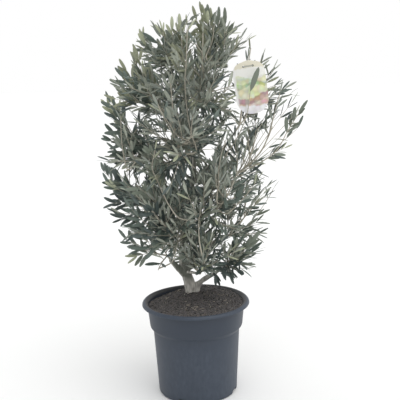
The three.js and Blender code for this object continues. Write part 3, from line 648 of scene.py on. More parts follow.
crown = {
    # its depth to its width, how much height counts in sharing it out, half the width in which places are
    # tried, and how much of the way down from the top counts as depth inside
    "depthShare": 0.92, "flatten": 0.85, "boxHalf": 380, "topShare": 0.6,
    "outline": ((346, 10, 150), (384, 110, 190), (430, 218, 232), (500, 240, 240), (565, 276, 264),
                (630, 294, 262), (700, 292, 284), (800, 322, 312), (905, 300, 356), (960, 288, 372),
                (1010, 284, 356), (1056, 264, 326), (1103, 234, 290), (1143, 198, 248), (1200, 162, 210),
                (1236, 128, 168), (1274, 36, 98), (1294, -36, 66)),
}
growth = {
    "seed": 26, "shootSeed": 5000,  # of stems and branches, and of what grows on them
    # how many places are tried, the first of the shoots', and how far they keep low
    "branchPlaces": 560, "shootPlaces": 3000, "firstPlace": 5000, "lowBias": 1.3,
    # x and z of the leaf tips that make the outline
    "tips": ((50, 1289), (-2, 1262), (82, 1272), (123, 1255), (-56, 1243), (-88, 1231), (-143, 1218),
             (195, 1208), (-175, 1140), (-213, 1100), (-247, 1054), (-275, 1010), (-280, 962), (-284, 905),
             (-313, 801), (-284, 690), (-286, 634), (-271, 560), (-234, 499), (-190, 428), (228, 430),
             (229, 504), (263, 565), (285, 714), (308, 800), (371, 935), (339, 1034), (294, 1090),
             (236, 1147), (208, 1192), (62, 1278), (104, 1266), (146, 1240), (34, 1274), (-30, 1250),
             (-226, 1078), (-240, 1034), (-262, 1022), (-196, 1100), (-152, 1226), (-132, 1208),
             (-170, 1150), (-228, 470), (72, 1276), (120, 1246), (-108, 1214), (312, 858), (300, 770),
             (-306, 760), (334, 1004), (316, 1052), (352, 976), (-244, 1010), (264, 722), (246, 708),
             (262, 700), (-268, 742), (-250, 762), (-206, 1120)),
    "tipReach": 46,  # from the end of a shoot to the tip of its last leaf
    "tipDepths": 70,  # how far apart they stand from front to back
    "paleTuft": (-143, 1215, 42),  # x, z and radius
    # long shoots in front of the leaves: y, then x and z where their course shows in the crown's middle plane
    "seen": {
        "leader": (-120, ((15, 808), (3, 861), (-8, 920), (-13, 979), (-15, 1037), (-9, 1100), (-5, 1157),
                          (0, 1207))),
        "middle": (-135, ((-14, 627), (-5, 681), (3, 742), (8, 795), (19, 841))),
        "upperLeft": (-125, ((-4, 842), (-43, 862), (-68, 899), (-90, 936), (-105, 968))),
        "lowerLeft": (-120, ((-48, 587), (-77, 626), (-96, 664), (-114, 711), (-132, 759), (-120, 818))),
        "middleRight": (-120, ((80, 638), (85, 692), (89, 753), (100, 806), (114, 845))),
        "low": (-130, ((22, 475), (17, 524), (18, 572), (26, 619))),
        "fork": (-40, ((-77, 436), (-62, 477), (-51, 512), (-33, 539))),
        "card": (-14, ((110, 792), (141, 834), (164, 876), (185, 928), (196, 999))),
        "right": (-70, ((109, 597), (150, 630), (181, 663), (211, 702))),
        "left": (-20, ((-212, 754), (-226, 821), (-229, 881), (-227, 933))),
        "arch": (20, ((152, 734), (189, 750), (235, 772), (282, 807), (319, 872), (352, 922))),
        "top": (-30, ((55, 1114), (76, 1161), (84, 1214))),
    },
    # small shoots that hang out of the crown on the lower right
    "hanging": {
        "near": (-30, ((72, 426), (84, 412), (89, 398), (90, 388))),
        "middle": (-10, ((96, 424), (110, 408), (116, 394), (117, 384))),
        "far": (10, ((52, 420), (64, 408), (68, 398), (70, 388))),
    },
    # how clear of them leaves keep that are so much nearer, their step, and how far below their start the
    # root is looked for
    "seenClear": 5, "seenNearer": 2, "seenStep": 14, "seenRoot": 25,
    # the leaf over the label: its tip's x and z, its width, where it faces and how far it comes forward
    "cardLeafTip": (226, 1078), "cardLeafWidth": 112, "cardLeafWay": (0.35, -1, 0.1), "cardLeafFront": 6,
    "stemBend": 19, "stemBeyond": 190, "stemStep": 19,
    # how steeply stems and shoots rise low in the crown, and from which height on
    "stemRise": (0.35, 0.85), "shootRise": (0.5, 0.9), "highFrom": 994,
    # how a line leaves what it grows on: angle and greatest angle in degrees, lengths, how much it keeps off
    # others and leans to the wanted way, its sag, how many spans it has and how far inside it ends
    "branch": {"angle": 48, "most": 104, "shortest": 40, "longest": 230, "crowding": 4, "lean": 0,
               "sag": 0.16, "spans": 8, "inset": 50},
    "shoot": {"angle": 36, "most": 84, "shortest": 52, "longest": 185, "crowding": 14, "lean": 0.8,
              "sag": 0.05, "spans": 6, "inset": 34},
    "leader": {"angle": 36, "most": 104, "shortest": 52, "longest": 300, "crowding": 4, "lean": 0.8,
               "sag": 0.05, "spans": 10},
    # how far its bend is pushed on and strays, and what a place beside a used one counts
    "onward": 0.08, "stray": 0.09, "besideUsed": 0.4,
    # radii at the root and tip, the share of the length from which leaves stand on it, and its skin
    "wood": {"stem": ((3.6, 1.6), 0.45, 0), "branch": ((2.3, 1.2), 0.3, 1), "shoot": ((1.4, 0.7), 0, 1),
             "seen": ((2.6, 1.1), 0.35, 2), "hanging": ((1.4, 0.7), 0.2, 1)},
    # how clear it all keeps of the limbs, and of the view of the label: round it, in front and behind
    "limbGap": 3, "room": 14, "sightline": 230, "cardBack": 6,
    # places of the crown's middle plane, x, z and radius, where one sees through to the room
    "skyGaps": ((153, 1048, 15), (134, 1012, 7), (253, 844, 26), (284, 880, 23), (56, 812, 18),
                (236, 806, 15), (268, 1082, 8), (175, 576, 14), (180, 771, 16), (-114, 1192, 14),
                (149, 1105, 13), (54, 369, 13), (158, 752, 14), (-201, 724, 12), (-195, 1087, 12),
                (90, 379, 7), (137, 582, 11), (-82, 863, 11), (-113, 1162, 9), (120, 676, 11),
                (-173, 722, 10), (-108, 889, 9), (-200, 898, 10), (106, 1034, 8), (136, 911, 8),
                (-72, 876, 10), (218, 786, 8), (169, 1126, 8), (142, 799, 8), (-175, 583, 11),
                (-164, 1091, 8), (-171, 967, 8), (116, 573, 8), (-92, 842, 10), (-153, 508, 8),
                (191, 734, 6), (124, 904, 5), (188, 795, 9), (-126, 867, 7), (-174, 625, 11),
                (-185, 805, 10), (170, 597, 7), (-215, 745, 7), (221, 862, 7), (139, 956, 7), (96, 1011, 9),
                (-84, 786, 9), (-191, 514, 7), (127, 651, 9), (93, 980, 6), (-44, 1214, 6), (-78, 713, 6),
                (-93, 477, 9), (274, 742, 26), (232, 752, 9), (-296, 843, 16), (-280, 596, 10),
                (-256, 536, 12), (276, 618, 10), (-130, 392, 34), (226, 1150, 26), (-203, 931, 9),
                (-241, 980, 8), (-234, 611, 10), (-240, 823, 9), (-228, 917, 8), (-259, 893, 8),
                (161, 408, 8), (113, 371, 8), (186, 632, 9), (3, 1231, 8), (72, 678, 7), (176, 431, 8),
                (125, 1221, 8), (-87, 1185, 7), (-158, 1112, 7), (104, 940, 6), (-88, 728, 6),
                (-117, 929, 7), (205, 816, 10)),
    # parts of that plane where the growth is thinner, and the share of shoots there
    "airy": ((240, 925, 90, 0.34), (224, 790, 66, 0.28), (130, 1010, 60, 0.6), (-140, 430, 62, 0.4),
             (-312, 915, 60, 0.1), (120, 820, 60, 0.6), (178, 1100, 50, 0.35), (-225, 960, 50, 0.6),
             (-318, 715, 42, 0.06), (-280, 600, 44, 0.3), (175, 590, 50, 0.5), (248, 640, 52, 0.3),
             (282, 592, 40, 0.25), (286, 694, 40, 0.15), (-266, 868, 34, 0.5), (40, 1180, 60, 0.6),
             (322, 850, 30, 0.3), (279, 801, 34, 0.22), (224, 641, 34, 0.25), (172, 750, 24, 0.3),
             (228, 742, 24, 0.2)),
    # the view of the lowest trunk and limbs: from left to right, and below a height
    "trunkView": ((-76, -40, 428), (-40, -14, 398), (-14, 20, 366), (20, 52, 384)), "trunkViewDepth": 50,
    # which masses' leaves make a piece
    "pieces": {"leavesLow": (0, 6), "leavesMid": (6, 13), "leavesHigh": (13, 20)},
}
leafShape = {
    "rows": (0, 0.06, 0.22, 0.46, 0.72, 0.92, 1),  # shares of its length
    "halfWidths": (0, 0.013, 0.06, 0.083, 0.077, 0.045, 0),
    "ridge": 0.02, "thickness": 0.011, "bends": (0.1, 0.02, -0.05, 0.18),
}
leafing = {
    # along a shoot: the step from pair to pair, and how near its root and tip they come
    "step": 20.6, "stepVary": (0.9, 1.15), "start": 10, "stop": 3,
    "angle": 38, "angleVary": 0.3, "rollVary": 0.5, "twist": 1.35,
    "length": 51, "lengthVary": 0.18, "widthVary": (0.88, 1.12),
    # towards the tip: from how far, angle, size, where it is young, and the angle of the last leaf
    "tipLength": 40, "tipAngle": 22, "tipSize": 0.78, "youngFrom": 0.2, "lastAngle": 0.05,
    # how far past the outline it may reach, how near to others, and the cells in which those are looked up
    "overrun": 12, "space": 6, "cell": 14,
    # shares of its length that keep clear of limbs and other leaves, of the long shoots and of the gaps
    "middle": 0.55, "outer": 0.85, "seenShares": (0.25, 0.5, 0.75, 1), "gapShares": (0.3, 0.55, 0.8, 1),
    # shoots at the sides of the crown turn their leaves' tops to the front: how often and where, and how
    # broad and how evenly turned these are
    "facingShare": 0.42, "facingDepth": 60, "facingFrom": 120, "facingLow": 700,
    "facingWay": (-0.3, -1, 0.3), "facingWidth": 1.42, "facingTwist": 0.4,
}
tints = {
    "tops": ("4f5a57", "606c64", "757d70", "8e927a"),
    "undersides": ("8f958b", "a5aa9c"),
    "young": "abb095",
    # up to which height a spray on the crown's outside takes which of the tops' tints how often, and is
    # young; the lighter tints high up are painted light from above
    "outer": ((880, (38, 38, 20, 4), 0.08), (1060, (24, 36, 30, 10), 0.3), (1400, (0, 6, 38, 56), 0.4)),
    "inner": ((40, 38, 20, 2), 0.03), "outerDepth": 70, "seen": 2, "hanging": 0,
    "wood": ("b5afa0", "c4c0ac", "dcd6c4"), "woodSpeck": 2.5,
}
underside = len(tints["tops"])  # the numbers of the leaves' materials
youngTop = underside + len(tints["undersides"])
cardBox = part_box("label_card")
cardMiddle = (cardBox[0] + cardBox[1]) / 2 / mm
cardHalf = (cardBox[1] - cardBox[0]) / 2 / mm


def spread(i, base):  # the i-th of an evenly spread row of shares
    value, share = 0, 1 / base
    while i > 0:
        value += (i % base) * share
        share /= base
        i //= base
    return value


def crownPlaces(count, first):
    low, high, half = crown["outline"][0][0], crown["outline"][-1][0], crown["boxHalf"]
    return [Vector(((spread(i, 2) * 2 - 1) * half, (spread(i, 3) * 2 - 1) * half,
                    low + spread(i, 5) ** growth["lowBias"] * (high - low)))
            for i in range(first, first + count)]


def depthInside(p):  # how far inside the crown's outline
    x, y = p.x, p.y - axisY
    left, right = rowAt(crown["outline"], p.z)
    out = math.hypot(x, y)
    along = x / out if out > 0 else 0
    narrowing = 1 - (1 - crown["depthShare"]) * (1 - along * along)
    reach = (left + right) / 2 * narrowing + (right - left) / 2 * along
    if p.z < crown["outline"][0][0]:
        return -1
    return min(reach - out, (crown["outline"][-1][0] - p.z) * crown["topShare"])


masses = {}
for massName, massFacts in boughs.items():
    massLine = boughLines[massName]
    masses[massName] = {"root": massLine[-1], "way": (massLine[-1] - massLine[-2]).normalized(),
                        "heart": aroundAxis(massFacts[1], massFacts[5], massFacts[6])}
masses["top_left"] = {"root": trunkLine[-1], "way": (trunkLine[-1] - trunkLine[-2]).normalized(),
                      "heart": aroundAxis(180, *leaderHeart)}
names = list(masses)
squash = Vector((1, 1, crown["flatten"]))
hearts = treeOf([mass["heart"] * squash for mass in masses.values()])

limbPlaces = [(p, trunkAt(p.z)[2]) for p in trunkLine]
for massName, massLine in boughLines.items():
    limbPlaces += zip(massLine, boughRadii(massName))
limbTree = treeOf([p for p, _ in limbPlaces])

seenPlaces = []
for seenDepth, seenCourse in growth["seen"].values():
    for seenPoint in smoothCourse([Vector((x, z, 0)) for x, z in seenCourse], growth["seenClear"]):
        seenPlaces.append((seenPoint, seenDepth))
seenTree = treeOf([p for p, _ in seenPlaces])


def homeOf(p):  # the mass that has the place
    return names[hearts.find(p * squash)[1]]


def clearOfLimbs(p):  # of trunk and boughs
    _, index, far = limbTree.find(p)
    return far > limbPlaces[index][1] + growth["limbGap"]


def coversCard(p):  # in the view of the label, or where it hangs
    x, z = p.x - cardMiddle.x, p.z - cardMiddle.z
    behind = p.y - cardMiddle.y
    room = growth["room"]
    inView = abs(x - room / 2) < cardHalf.x + room / 2 and abs(z) < cardHalf.z + room
    return inView and -growth["sightline"] < behind < growth["cardBack"]


def risingWay(p, rises):  # more outwards low in the crown, upwards high in it
    outward = Vector((p.x, p.y - axisY, 0)).normalized()
    low = crown["outline"][0][0]
    rise = between(*rises, ease((p.z - low) / (growth["highFrom"] - low)))
    return (outward * (1 - rise) + up * rise).normalized()


def growStem(mass):  # on from the bough's tip and through the heart of its foliage
    bend = mass["root"] + mass["way"] * growth["stemBend"]
    beyond = mass["heart"] + risingWay(mass["heart"], growth["stemRise"]) * growth["stemBeyond"]
    line = [mass["root"], *smoothCourse([bend, mass["heart"], beyond], growth["stemStep"])]
    return [p for i, p in enumerate(line) if i < 2 or depthInside(p) > growth["branch"]["inset"]]


def sproutFrom(lines, end, facts):  # the best place on what has grown for a line that ends there
    wanted = risingWay(end, growth["shootRise"])
    best = None
    for line in lines:
        points, used = line["points"], line["used"]
        for i in range(1, len(points) - 1):
            reach = end - points[i]
            if not facts["shortest"] < reach.length < facts["longest"]:
                continue
            leaving = math.degrees(reach.angle(points[i + 1] - points[i]))
            off = abs(leaving - facts["angle"]) + facts["crowding"] * used[i]
            off += facts["lean"] * math.degrees(reach.angle(wanted))
            if leaving < facts["most"] and (best is None or off < best[0]):
                best = (off, line, i)
    return best


def growLine(lines, end, facts, seed):  # each line has its own row of random numbers
    best = sproutFrom(lines, end, facts)
    if best is None:
        return None
    _, line, i = best
    root = line["points"][i]
    way = (line["points"][i + 1] - root).normalized()
    length = (end - root).length
    pick = random.Random(seed)
    turn = between(root, end, 0.5) - up * facts["sag"] * length * 0.5 + way * length * growth["onward"]
    turn += Vector([pick.random() - 0.5 for _ in range(3)]) * length * growth["stray"]
    points = arc(root, turn, end, facts["spans"])
    if not all(clearOfLimbs(p) and not coversCard(p) for p in points[1:]):
        return None
    for near in (i - 1, i, i + 1):
        if 0 <= near < len(line["used"]):
            line["used"][near] += 1 if near == i else growth["besideUsed"]
    return {"points": points, "used": [0] * len(points), "pick": pick}


def asSeen(p):  # x and z where the line of sight through p meets the crown's middle plane
    eye = Vector(view["place"]) / mm
    share = (axisY - eye.y) / (p.y - eye.y)
    return eye.x + (p.x - eye.x) * share, eye.z + (p.z - eye.z) * share


def onSight(x, z, y):  # the place at depth y that shows there
    eye = Vector(view["place"]) / mm
    share = (y - eye.y) / (axisY - eye.y)
    return Vector((eye.x + (x - eye.x) * share, y, eye.z + (z - eye.z) * share))


def hidesSeen(p):  # in front of one of the long shoots
    x, z = asSeen(p)
    _, index, far = seenTree.find(Vector((x, z, 0)))
    return far < growth["seenClear"] and p.y < seenPlaces[index][1] - growth["seenNearer"]


def fullness(p):  # the share of growth that stands there
    x, z = asSeen(p)
    return min([1] + [share for ax, az, r, share in growth["airy"] if (x - ax) ** 2 + (z - az) ** 2 < r * r])


def inGap(p):  # on a line of sight that the photo shows open
    x, z = asSeen(p)
    if p.y < growth["trunkViewDepth"] and any(a < x < b and z < high for a, b, high in growth["trunkView"]):
        return True
    return any((x - gx) ** 2 + (z - gz) ** 2 < r * r for gx, gz, r in growth["skyGaps"])


def atSide(p):  # at the left of the crown, or low down on the right, where the leaves' tops show
    out = leafing["facingFrom"]
    low = p.z < leafing["facingLow"]
    return (p.x < -out or p.x > out and low) and depthInside(p) < leafing["facingDepth"]


def branchWay(way, angle, roll):  # turned off the way by an angle, to the side that roll gives
    side = way.cross(up)
    if side.length < 1e-3:
        side = Vector((1, 0, 0))
    side.normalize()
    side.rotate(Matrix.Rotation(roll, 3, way))
    turned = way.copy()
    turned.rotate(Matrix.Rotation(angle, 3, side))
    return turned


leafCells = {}


def leafFits(points):  # keeps leaves from lying in one another
    homes = [tuple(math.floor(c / leafing["cell"]) for c in p) for p in points]
    for p, (x, y, z) in zip(points, homes):
        for dx, dy, dz in itertools.product((-1, 0, 1), repeat=3):
            if any((p - q).length < leafing["space"] for q in leafCells.get((x + dx, y + dy, z + dz), ())):
                return False
    for p, home in zip(points, homes):
        leafCells.setdefault(home, []).append(p)
    return True


def placeLeaf(base, way, angle, roll, size, pick, facing):
    twist = (pick.random() * 2 - 1) * leafing["twist"] * (leafing["facingTwist"] if facing else 1)
    length = leafing["length"] * size * (1 + (pick.random() * 2 - 1) * leafing["lengthVary"])
    width = length * between(*leafing["widthVary"], pick.random()) * (leafing["facingWidth"] if facing else 1)
    for turn in (0, math.pi / 2):
        along = branchWay(way, angle, roll + turn)
        tip = base + along * length
        middle = between(base, tip, leafing["middle"])
        if any(hidesSeen(between(base, tip, share)) for share in leafing["seenShares"]):
            continue
        if depthInside(tip) < -leafing["overrun"] or coversCard(tip) or coversCard(middle):
            continue
        if any(inGap(between(base, tip, share)) for share in leafing["gapShares"]):
            continue
        if not (clearOfLimbs(tip) and clearOfLimbs(middle)):
            continue
        if not leafFits([middle, between(base, tip, leafing["outer"])]):
            continue
        flat = along.cross(Vector(leafing["facingWay"]) if facing else up).normalized()
        flat.rotate(Matrix.Rotation(twist, 3, along))
        face = flat.cross(along)
        basis = np.array([flat * width, along * length, face * length]).T
        return basis, np.array(base)
    return None


def leavesOn(line, fromShare, forms, places, young, tint, under):  # returns the share up to its last leaf
    points, pick, facing = line["points"], line["pick"], line.get("facing", False)
    lengths = [(b - a).length for a, b in zip(points, points[1:])]
    whole = sum(lengths)

    def addLeaf(base, way, angle, roll, size, isYoung):
        leaf = placeLeaf(base, way, angle, roll, size, pick, facing)
        if leaf:
            places.append((pick.choice(forms), *leaf, youngTop if isYoung else tint, under))
        return leaf

    roll = pick.random() * math.pi
    step = leafing["step"] * between(*leafing["stepVary"], pick.random())
    at = max(leafing["start"], whole * fromShare)
    reached = 0
    while at < whole - leafing["stop"]:
        gone, i = at, 0
        at += step
        while gone > lengths[i]:
            gone -= lengths[i]
            i += 1
        base = between(points[i], points[i + 1], gone / lengths[i])
        if pick.random() > fullness(base) ** 0.5:
            continue
        way = (points[i + 1] - points[i]).normalized()
        nearTip = ease((at - step - whole + leafing["tipLength"]) / leafing["tipLength"])
        angle = math.radians(between(leafing["angle"], leafing["tipAngle"], nearTip))
        size = between(1, leafing["tipSize"], nearTip)
        for side in (0, math.pi):
            varied = angle * (1 + (pick.random() * 2 - 1) * leafing["angleVary"])
            if addLeaf(base, way, varied, roll + side, size, young and nearTip > leafing["youngFrom"]):
                reached = at - step
        roll += math.pi / 2 + (pick.random() - 0.5) * leafing["rollVary"]
    way = (points[-1] - points[-2]).normalized()
    if addLeaf(points[-1] - way, way, leafing["lastAngle"], 0, 1 if facing else leafing["tipSize"], young):
        reached = whole
    return reached / whole


def leafForms():
    rows, halves = leafShape["rows"], leafShape["halfWidths"]
    forms = []
    for bend in leafShape["bends"]:
        bm = bmesh.new()
        bmesh.ops.create_grid(bm, x_segments=2, y_segments=len(rows) - 1, size=1)
        for v in bm.verts:
            row = round((v.co.y + 1) / 2 * (len(rows) - 1))
            column = round(v.co.x)
            ridge = (column == 0) * leafShape["ridge"] * (halves[row] / max(halves))
            v.co = (column * halves[row], rows[row], ridge - bend * rows[row] ** 2)
        copy = bmesh.ops.duplicate(bm, geom=bm.verts[:] + bm.edges[:] + bm.faces[:])["geom"]
        below = [g for g in copy if isinstance(g, bmesh.types.BMFace)]
        for v in (g for g in copy if isinstance(g, bmesh.types.BMVert)):
            if abs(v.co.x) < 1e-6:
                row = min(range(len(rows)), key=lambda i: abs(rows[i] - v.co.y))
                v.co.z -= leafShape["thickness"] * halves[row] / max(halves)
        bmesh.ops.reverse_faces(bm, faces=below)
        bmesh.ops.remove_doubles(bm, verts=bm.verts[:], dist=1e-4)
        forms.append(formOf(bm))
    return forms


def growBranches(stems, seeds):
    branches = {name: [] for name in names}
    for end in crownPlaces(growth["branchPlaces"], 1):
        seed = next(seeds)
        if depthInside(end) > growth["branch"]["inset"]:
            line = growLine([stems[homeOf(end)]], end, growth["branch"], seed)
            if line:
                branches[homeOf(end)].append(line)
    return branches


def growShoots(stems, branches, seeds):
    shoots = {name: [] for name in names}

    def addShoot(end, facts, seed, facing):
        home = homeOf(end)
        line = growLine([stems[home], *branches[home]], end, facts, seed)
        if line:
            shoots[home].append({**line, "facing": facing})

    for i, (x, z) in enumerate(growth["tips"]):
        tip = Vector((x, axisY + (spread(i, 3) - 0.5) * growth["tipDepths"], z))
        end = tip - risingWay(tip, growth["shootRise"]) * growth["tipReach"]
        addShoot(end, growth["leader"], next(seeds), end.x < leafing["facingFrom"])
    for i, end in enumerate(crownPlaces(growth["shootPlaces"], growth["firstPlace"]), 1):
        seed = next(seeds)
        inside = depthInside(end) > growth["shoot"]["inset"]
        if inside and not inGap(end) and spread(i, 7) < fullness(end):
            addShoot(end, growth["shoot"], seed, atSide(end) and spread(i, 11) < leafing["facingShare"])
    return shoots


def seenShoots(stems, branches, seeds):
    woodPlaces = [p for p, _ in limbPlaces]
    woodPlaces += [p for name in names for line in (stems[name], *branches[name]) for p in line["points"]]
    woodTree = treeOf(woodPlaces)
    seen = {}
    for name, (y, course) in (*growth["seen"].items(), *growth["hanging"].items()):
        root = woodTree.find(onSight(*course[0], y) - up * growth["seenRoot"])[0]
        points = smoothCourse([root, *[onSight(x, z, y) for x, z in course]], growth["seenStep"])
        seen[name] = {"points": points, "pick": random.Random(next(seeds)),
                      "facing": name == "arch" or name in growth["hanging"]}
    return seen


def growCrown():
    forms = leafForms()
    seeds = itertools.count(growth["seed"])
    stems = {}
    for name, mass in masses.items():
        line = growStem(mass)
        stems[name] = {"points": line, "pick": random.Random(next(seeds)), "used": [0] * len(line)}
    branches = growBranches(stems, seeds)
    seen = seenShoots(stems, branches, seeds)
    shoots = growShoots(stems, branches, itertools.count(growth["shootSeed"]))
    print("branches", sum(map(len, branches.values())), "shoots", sum(map(len, shoots.values())))

    wood = []
    leaves = {name: [] for name in names}

    def addWood(points, radii, material):
        count = len(points) - 1
        wood.append((points, [between(*radii, i / count) for i in range(count + 1)], material))

    def dress(line, fromShare, name):  # leaves of the tints of its place
        tip, pick = line["points"][-1], line["pick"]
        weights, often = tints["inner"]
        # sprays high on the crown's outside take lighter tints: painted light from above
        if depthInside(tip) < tints["outerDepth"]:
            weights, often = next((w, share) for top, w, share in tints["outer"] if tip.z < top)
        tint = pick.choices(range(underside), weights)[0]
        under = underside + (pick.random() < 0.5)
        x, z, r = growth["paleTuft"]
        young = math.hypot(tip.x - x, tip.z - z) < r or pick.random() < often
        return leavesOn(line, fromShare, forms, leaves[name], young, tint, under)

    for name in names:
        for kind, lines in (("stem", [stems[name]]), ("branch", branches[name]), ("shoot", shoots[name])):
            radii, fromShare, skin = growth["wood"][kind]
            for line in lines:
                points = line["points"]
                reached = dress(line, fromShare, name)
                if kind == "shoot":  # its wood ends with its last leaf
                    points = points[:math.ceil(reached * (len(points) - 1)) + 1]
                if len(points) > 1:
                    addWood(points, radii, skin)
    for name, line in seen.items():
        kind = "hanging" if name in growth["hanging"] else "seen"
        radii, fromShare, skin = growth["wood"][kind]
        addWood(line["points"], radii, skin)
        young = kind == "seen" and name != "arch"
        home = leaves[homeOf(line["points"][-1])]
        leavesOn(line, fromShare, forms, home, young, tints[kind], underside)
    # the leaf that lies over the label
    base = seen["card"]["points"][-1]
    along = onSight(*growth["cardLeafTip"], growth["seen"]["card"][0] - growth["cardLeafFront"]) - base
    flat = along.cross(Vector(growth["cardLeafWay"])).normalized()
    basis = np.array([flat * growth["cardLeafWidth"], along, flat.cross(along.normalized()) * along.length]).T
    leaves["right_high"].append((forms[1], basis, np.array(base), tints["seen"], underside))

    mesh = tubes("shootWood", wood, 1)
    mesh.polygons.foreach_set("use_smooth", [True] * len(mesh.polygons))
    newPiece("shootWood", mesh, woodMaterials(), "bark", *[f"foliage_{name}" for name in names])
    materials = leafMaterials()
    for piece, (first, end) in growth["pieces"].items():
        places = [leaf for name in names[first:end] for leaf in leaves[name]]
        mesh = joined(piece, places)
        newPiece(piece, mesh, materials, "foliage", *[f"foliage_{name}" for name in names[first:end]])
    print("leaves", sum(map(len, leaves.values())))


def woodMaterials():
    # shoots of this and last year: greyish beige skin, greener and paler where it is young
    materials = []
    size = perMetre(tints["woodSpeck"])
    for i, tint in enumerate(tints["wood"]):
        material, add, shader = newMaterial(f"shootSkin{i}", tint, 0.75)
        place = add("TexCoord").outputs["Object"]
        speck = add("TexNoise", {"Vector": place, "Scale": size, "Detail": 2})
        bump = add("Bump", {"Height": speck, "Strength": 0.3, "Distance": 0.2 * mm})
        setSockets(shader, {"Normal": bump})
        materials.append(material)
    return materials


def leafMaterials():
    # olive leaves: leathery and faintly waxy above, felted with silvery scales below
    materials = [newMaterial(f"leafTop{i}", tint, 0.42, {"Specular IOR Level": 0.45})[0]
                 for i, tint in enumerate(tints["tops"])]
    materials += [newMaterial(f"leafUnderside{i}", tint, 0.85, {"Sheen Weight": 0.15})[0]
                  for i, tint in enumerate(tints["undersides"])]
    return [*materials, newMaterial("leafYoung", tints["young"], 0.5)[0]]


growCrown()

# the plant label, in mm

label = {
    "width": 104, "length": 166, "thickness": 0.9, "lean": 7, "tieFromTop": 14, "hangs": (188.3, 11.15, 1082),
    "topCorner": 34, "topArch": 4, "topEase": 3, "bottomCorner": 47,
    "holes": 30, "holeRadius": 3.4, "curl": 3.5, "curlAcross": 0.3, "cuts": (-4, 9, 18),
    # a printed landscape: wavy edges as level, swing, waves across and start, with the colour below each
    "paper": "f0ead6", "border": (0.04, 0.1), "borderTint": "fbfaf8",
    "blots": 9, "blotSwing": 0.09, "softEdge": 0.012,
    "print": (
        (0.86, 0.03, 3.1, 0.0, "fbfaf4"), (0.7, 0.05, 5.5, 1.0, "e9edcf"), (0.6, 0.03, 9.0, 2.2, "c6d0a6"),
        (0.52, 0.04, 6.0, 4.4, "edeecb"), (0.36, 0.07, 3.6, 3.5, "c8a8a2"), (0.24, 0.05, 4.2, 3.2, "e6cec2"),
        (0.16, 0.02, 6.3, 0.6, "f8f6fc"),
    ),
    "bushes": 15, "bushTones": ("ffffff", "d6d6cc"), "land": (0.74, 0.68, 0, 0.55),
    "clear": "cfd0c6",
}


def cardOutline():  # x and z from the middle of the holes, all round
    w, top = label["width"] / 2, label["tieFromTop"]
    bottom, r = top - label["length"], label["bottomCorner"]
    corner, bow = label["topCorner"], label["topEase"]
    crest = top + label["topArch"]
    right = arc(Vector((0, crest)), Vector(((w - corner) / 2, crest)), Vector((w - corner, top)), 6)
    right += arc(right[-1], Vector((w - bow, top - bow)), Vector((w, top - corner)), 10)[1:]
    for i in range(13):
        angle = -math.pi / 2 * i / 12
        right.append(Vector((w - r + r * math.cos(angle), bottom + r + r * math.sin(angle))))
    left = [Vector((-p.x, p.y)) for p in reversed(right)]
    return right + left[:-1]


def printedMaterial():
    # printed polystyrene card, slightly glossy; pale ground with a soft landscape in its lower half
    material, add, shader = newMaterial("printedPolystyrene", label["paper"], 0.35)
    flat = add("UVMap", uv_map="card")
    x, y, _ = add("SeparateXYZ", [flat]).outputs
    blot = add("TexNoise", {"Vector": flat, "Scale": label["blots"], "Detail": 4})
    stray, soft = label["blotSwing"], label["softEdge"]
    rough = add("Math", [blot, stray, -stray / 2], operation="MULTIPLY_ADD")
    height = add("Math", [y, rough])
    colour = colourOf(label["paper"])
    for level, swing, waves, start, below in label["print"]:
        phase = add("Math", [x, waves, start], operation="MULTIPLY_ADD")
        wave = add("Math", [phase], operation="SINE")
        edge = add("Math", [wave, swing, level], operation="MULTIPLY_ADD")
        under = add("Math", [edge, height], operation="SUBTRACT")
        share = add("MapRange", [under, -soft, soft])
        colour = add("Mix", {"Factor": share, "A": colour, "B": colourOf(below)}, data_type="RGBA")
    # rounded bushes all over the land, and a white border on the left
    place = add("TexCoord").outputs["Object"]
    size = perMetre(label["bushes"])
    cells = add("TexVoronoi", {"Vector": place, "Scale": size, "Smoothness": 0.6}, feature="SMOOTH_F1")
    lit = add("MapRange", [cells.outputs["Distance"], 0.15, 0.75])
    top, foot = label["bushTones"]
    tone = add("Mix", {"Factor": lit, "A": colourOf(top), "B": colourOf(foot)}, data_type="RGBA")
    land = add("MapRange", [height, *label["land"]])
    for blend, over in (("SOFT_LIGHT", cells.outputs["Color"]), ("MULTIPLY", tone)):
        sockets = {"Factor": land, "A": colour, "B": over}
        colour = add("Mix", sockets, data_type="RGBA", blend_type=blend)
    inside = add("MapRange", [x, *label["border"]])
    border = colourOf(label["borderTint"])
    whole = add("Mix", {"Factor": inside, "A": border, "B": colour}, data_type="RGBA")
    setSockets(shader, {"Base Color": whole})
    return material


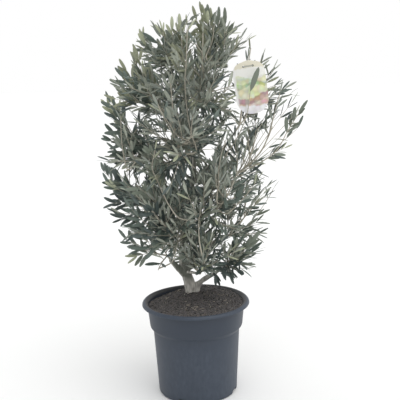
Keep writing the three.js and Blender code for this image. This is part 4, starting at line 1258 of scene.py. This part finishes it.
def makeLabel():
    bm = bmesh.new()
    face = bm.faces.new([bm.verts.new((p.x * mm, 0, p.y * mm)) for p in cardOutline()])
    bmesh.ops.triangulate(bm, faces=[face])
    bmesh.ops.recalc_face_normals(bm, faces=bm.faces[:])
    first, end, apart = label["cuts"]
    for i in range(first, end):  # cut across, so that the card can curl
        bmesh.ops.bisect_plane(bm, geom=bm.verts[:] + bm.edges[:] + bm.faces[:],
                               plane_co=(0, 0, -i * apart * mm), plane_no=(0, 0, 1), dist=0.001 * mm)
    sheet = bmesh.ops.extrude_face_region(bm, geom=bm.faces[:])["geom"]
    for v in (g for g in sheet if isinstance(g, bmesh.types.BMVert)):
        v.co.y += label["thickness"] * mm
    bmesh.ops.recalc_face_normals(bm, faces=bm.faces[:])
    punch = bmesh.new()
    for side in (-1, 1):
        centre = Matrix.Translation((side * label["holes"] / 2 * mm, 0, 0))
        bmesh.ops.create_cone(punch, cap_ends=True, segments=20, radius1=label["holeRadius"] * mm,
                              radius2=label["holeRadius"] * mm, depth=20 * mm,
                              matrix=centre @ Matrix.Rotation(math.pi / 2, 4, "X"))
    mesh = cutAway(meshFrom(bm, "cardSheet", False), punch)
    uvs = mesh.uv_layers.new(name="card")
    for loop in mesh.loops:
        x, _, z = mesh.vertices[loop.vertex_index].co / mm
        uvs.data[loop.index].uv = (x / label["width"] + 0.5, (z - label["tieFromTop"]) / label["length"] + 1)
    for v in mesh.vertices:
        x, z = v.co.x / label["width"] / mm, v.co.z / label["length"] / mm
        v.co.y -= label["curl"] * mm * (z * z - label["curlAcross"] * x * x)
    x, y, z = label["hangs"]
    middle = Vector((x, y - label["thickness"] / 2, z)) * mm
    mesh.transform(Matrix.Translation(middle) @ Matrix.Rotation(math.radians(-label["lean"]), 4, "Y"))
    newPiece("printedCard", mesh, [printedMaterial()], "label_plastic", "label_card")
    # the same polystyrene, clear and unprinted
    band, _, _ = newMaterial("clearPolystyrene", label["clear"], 0.3, {"Transmission Weight": 0.35})
    nodes["label_tie"].data.materials.clear()
    nodes["label_tie"].data.materials.append(band)


makeLabel()
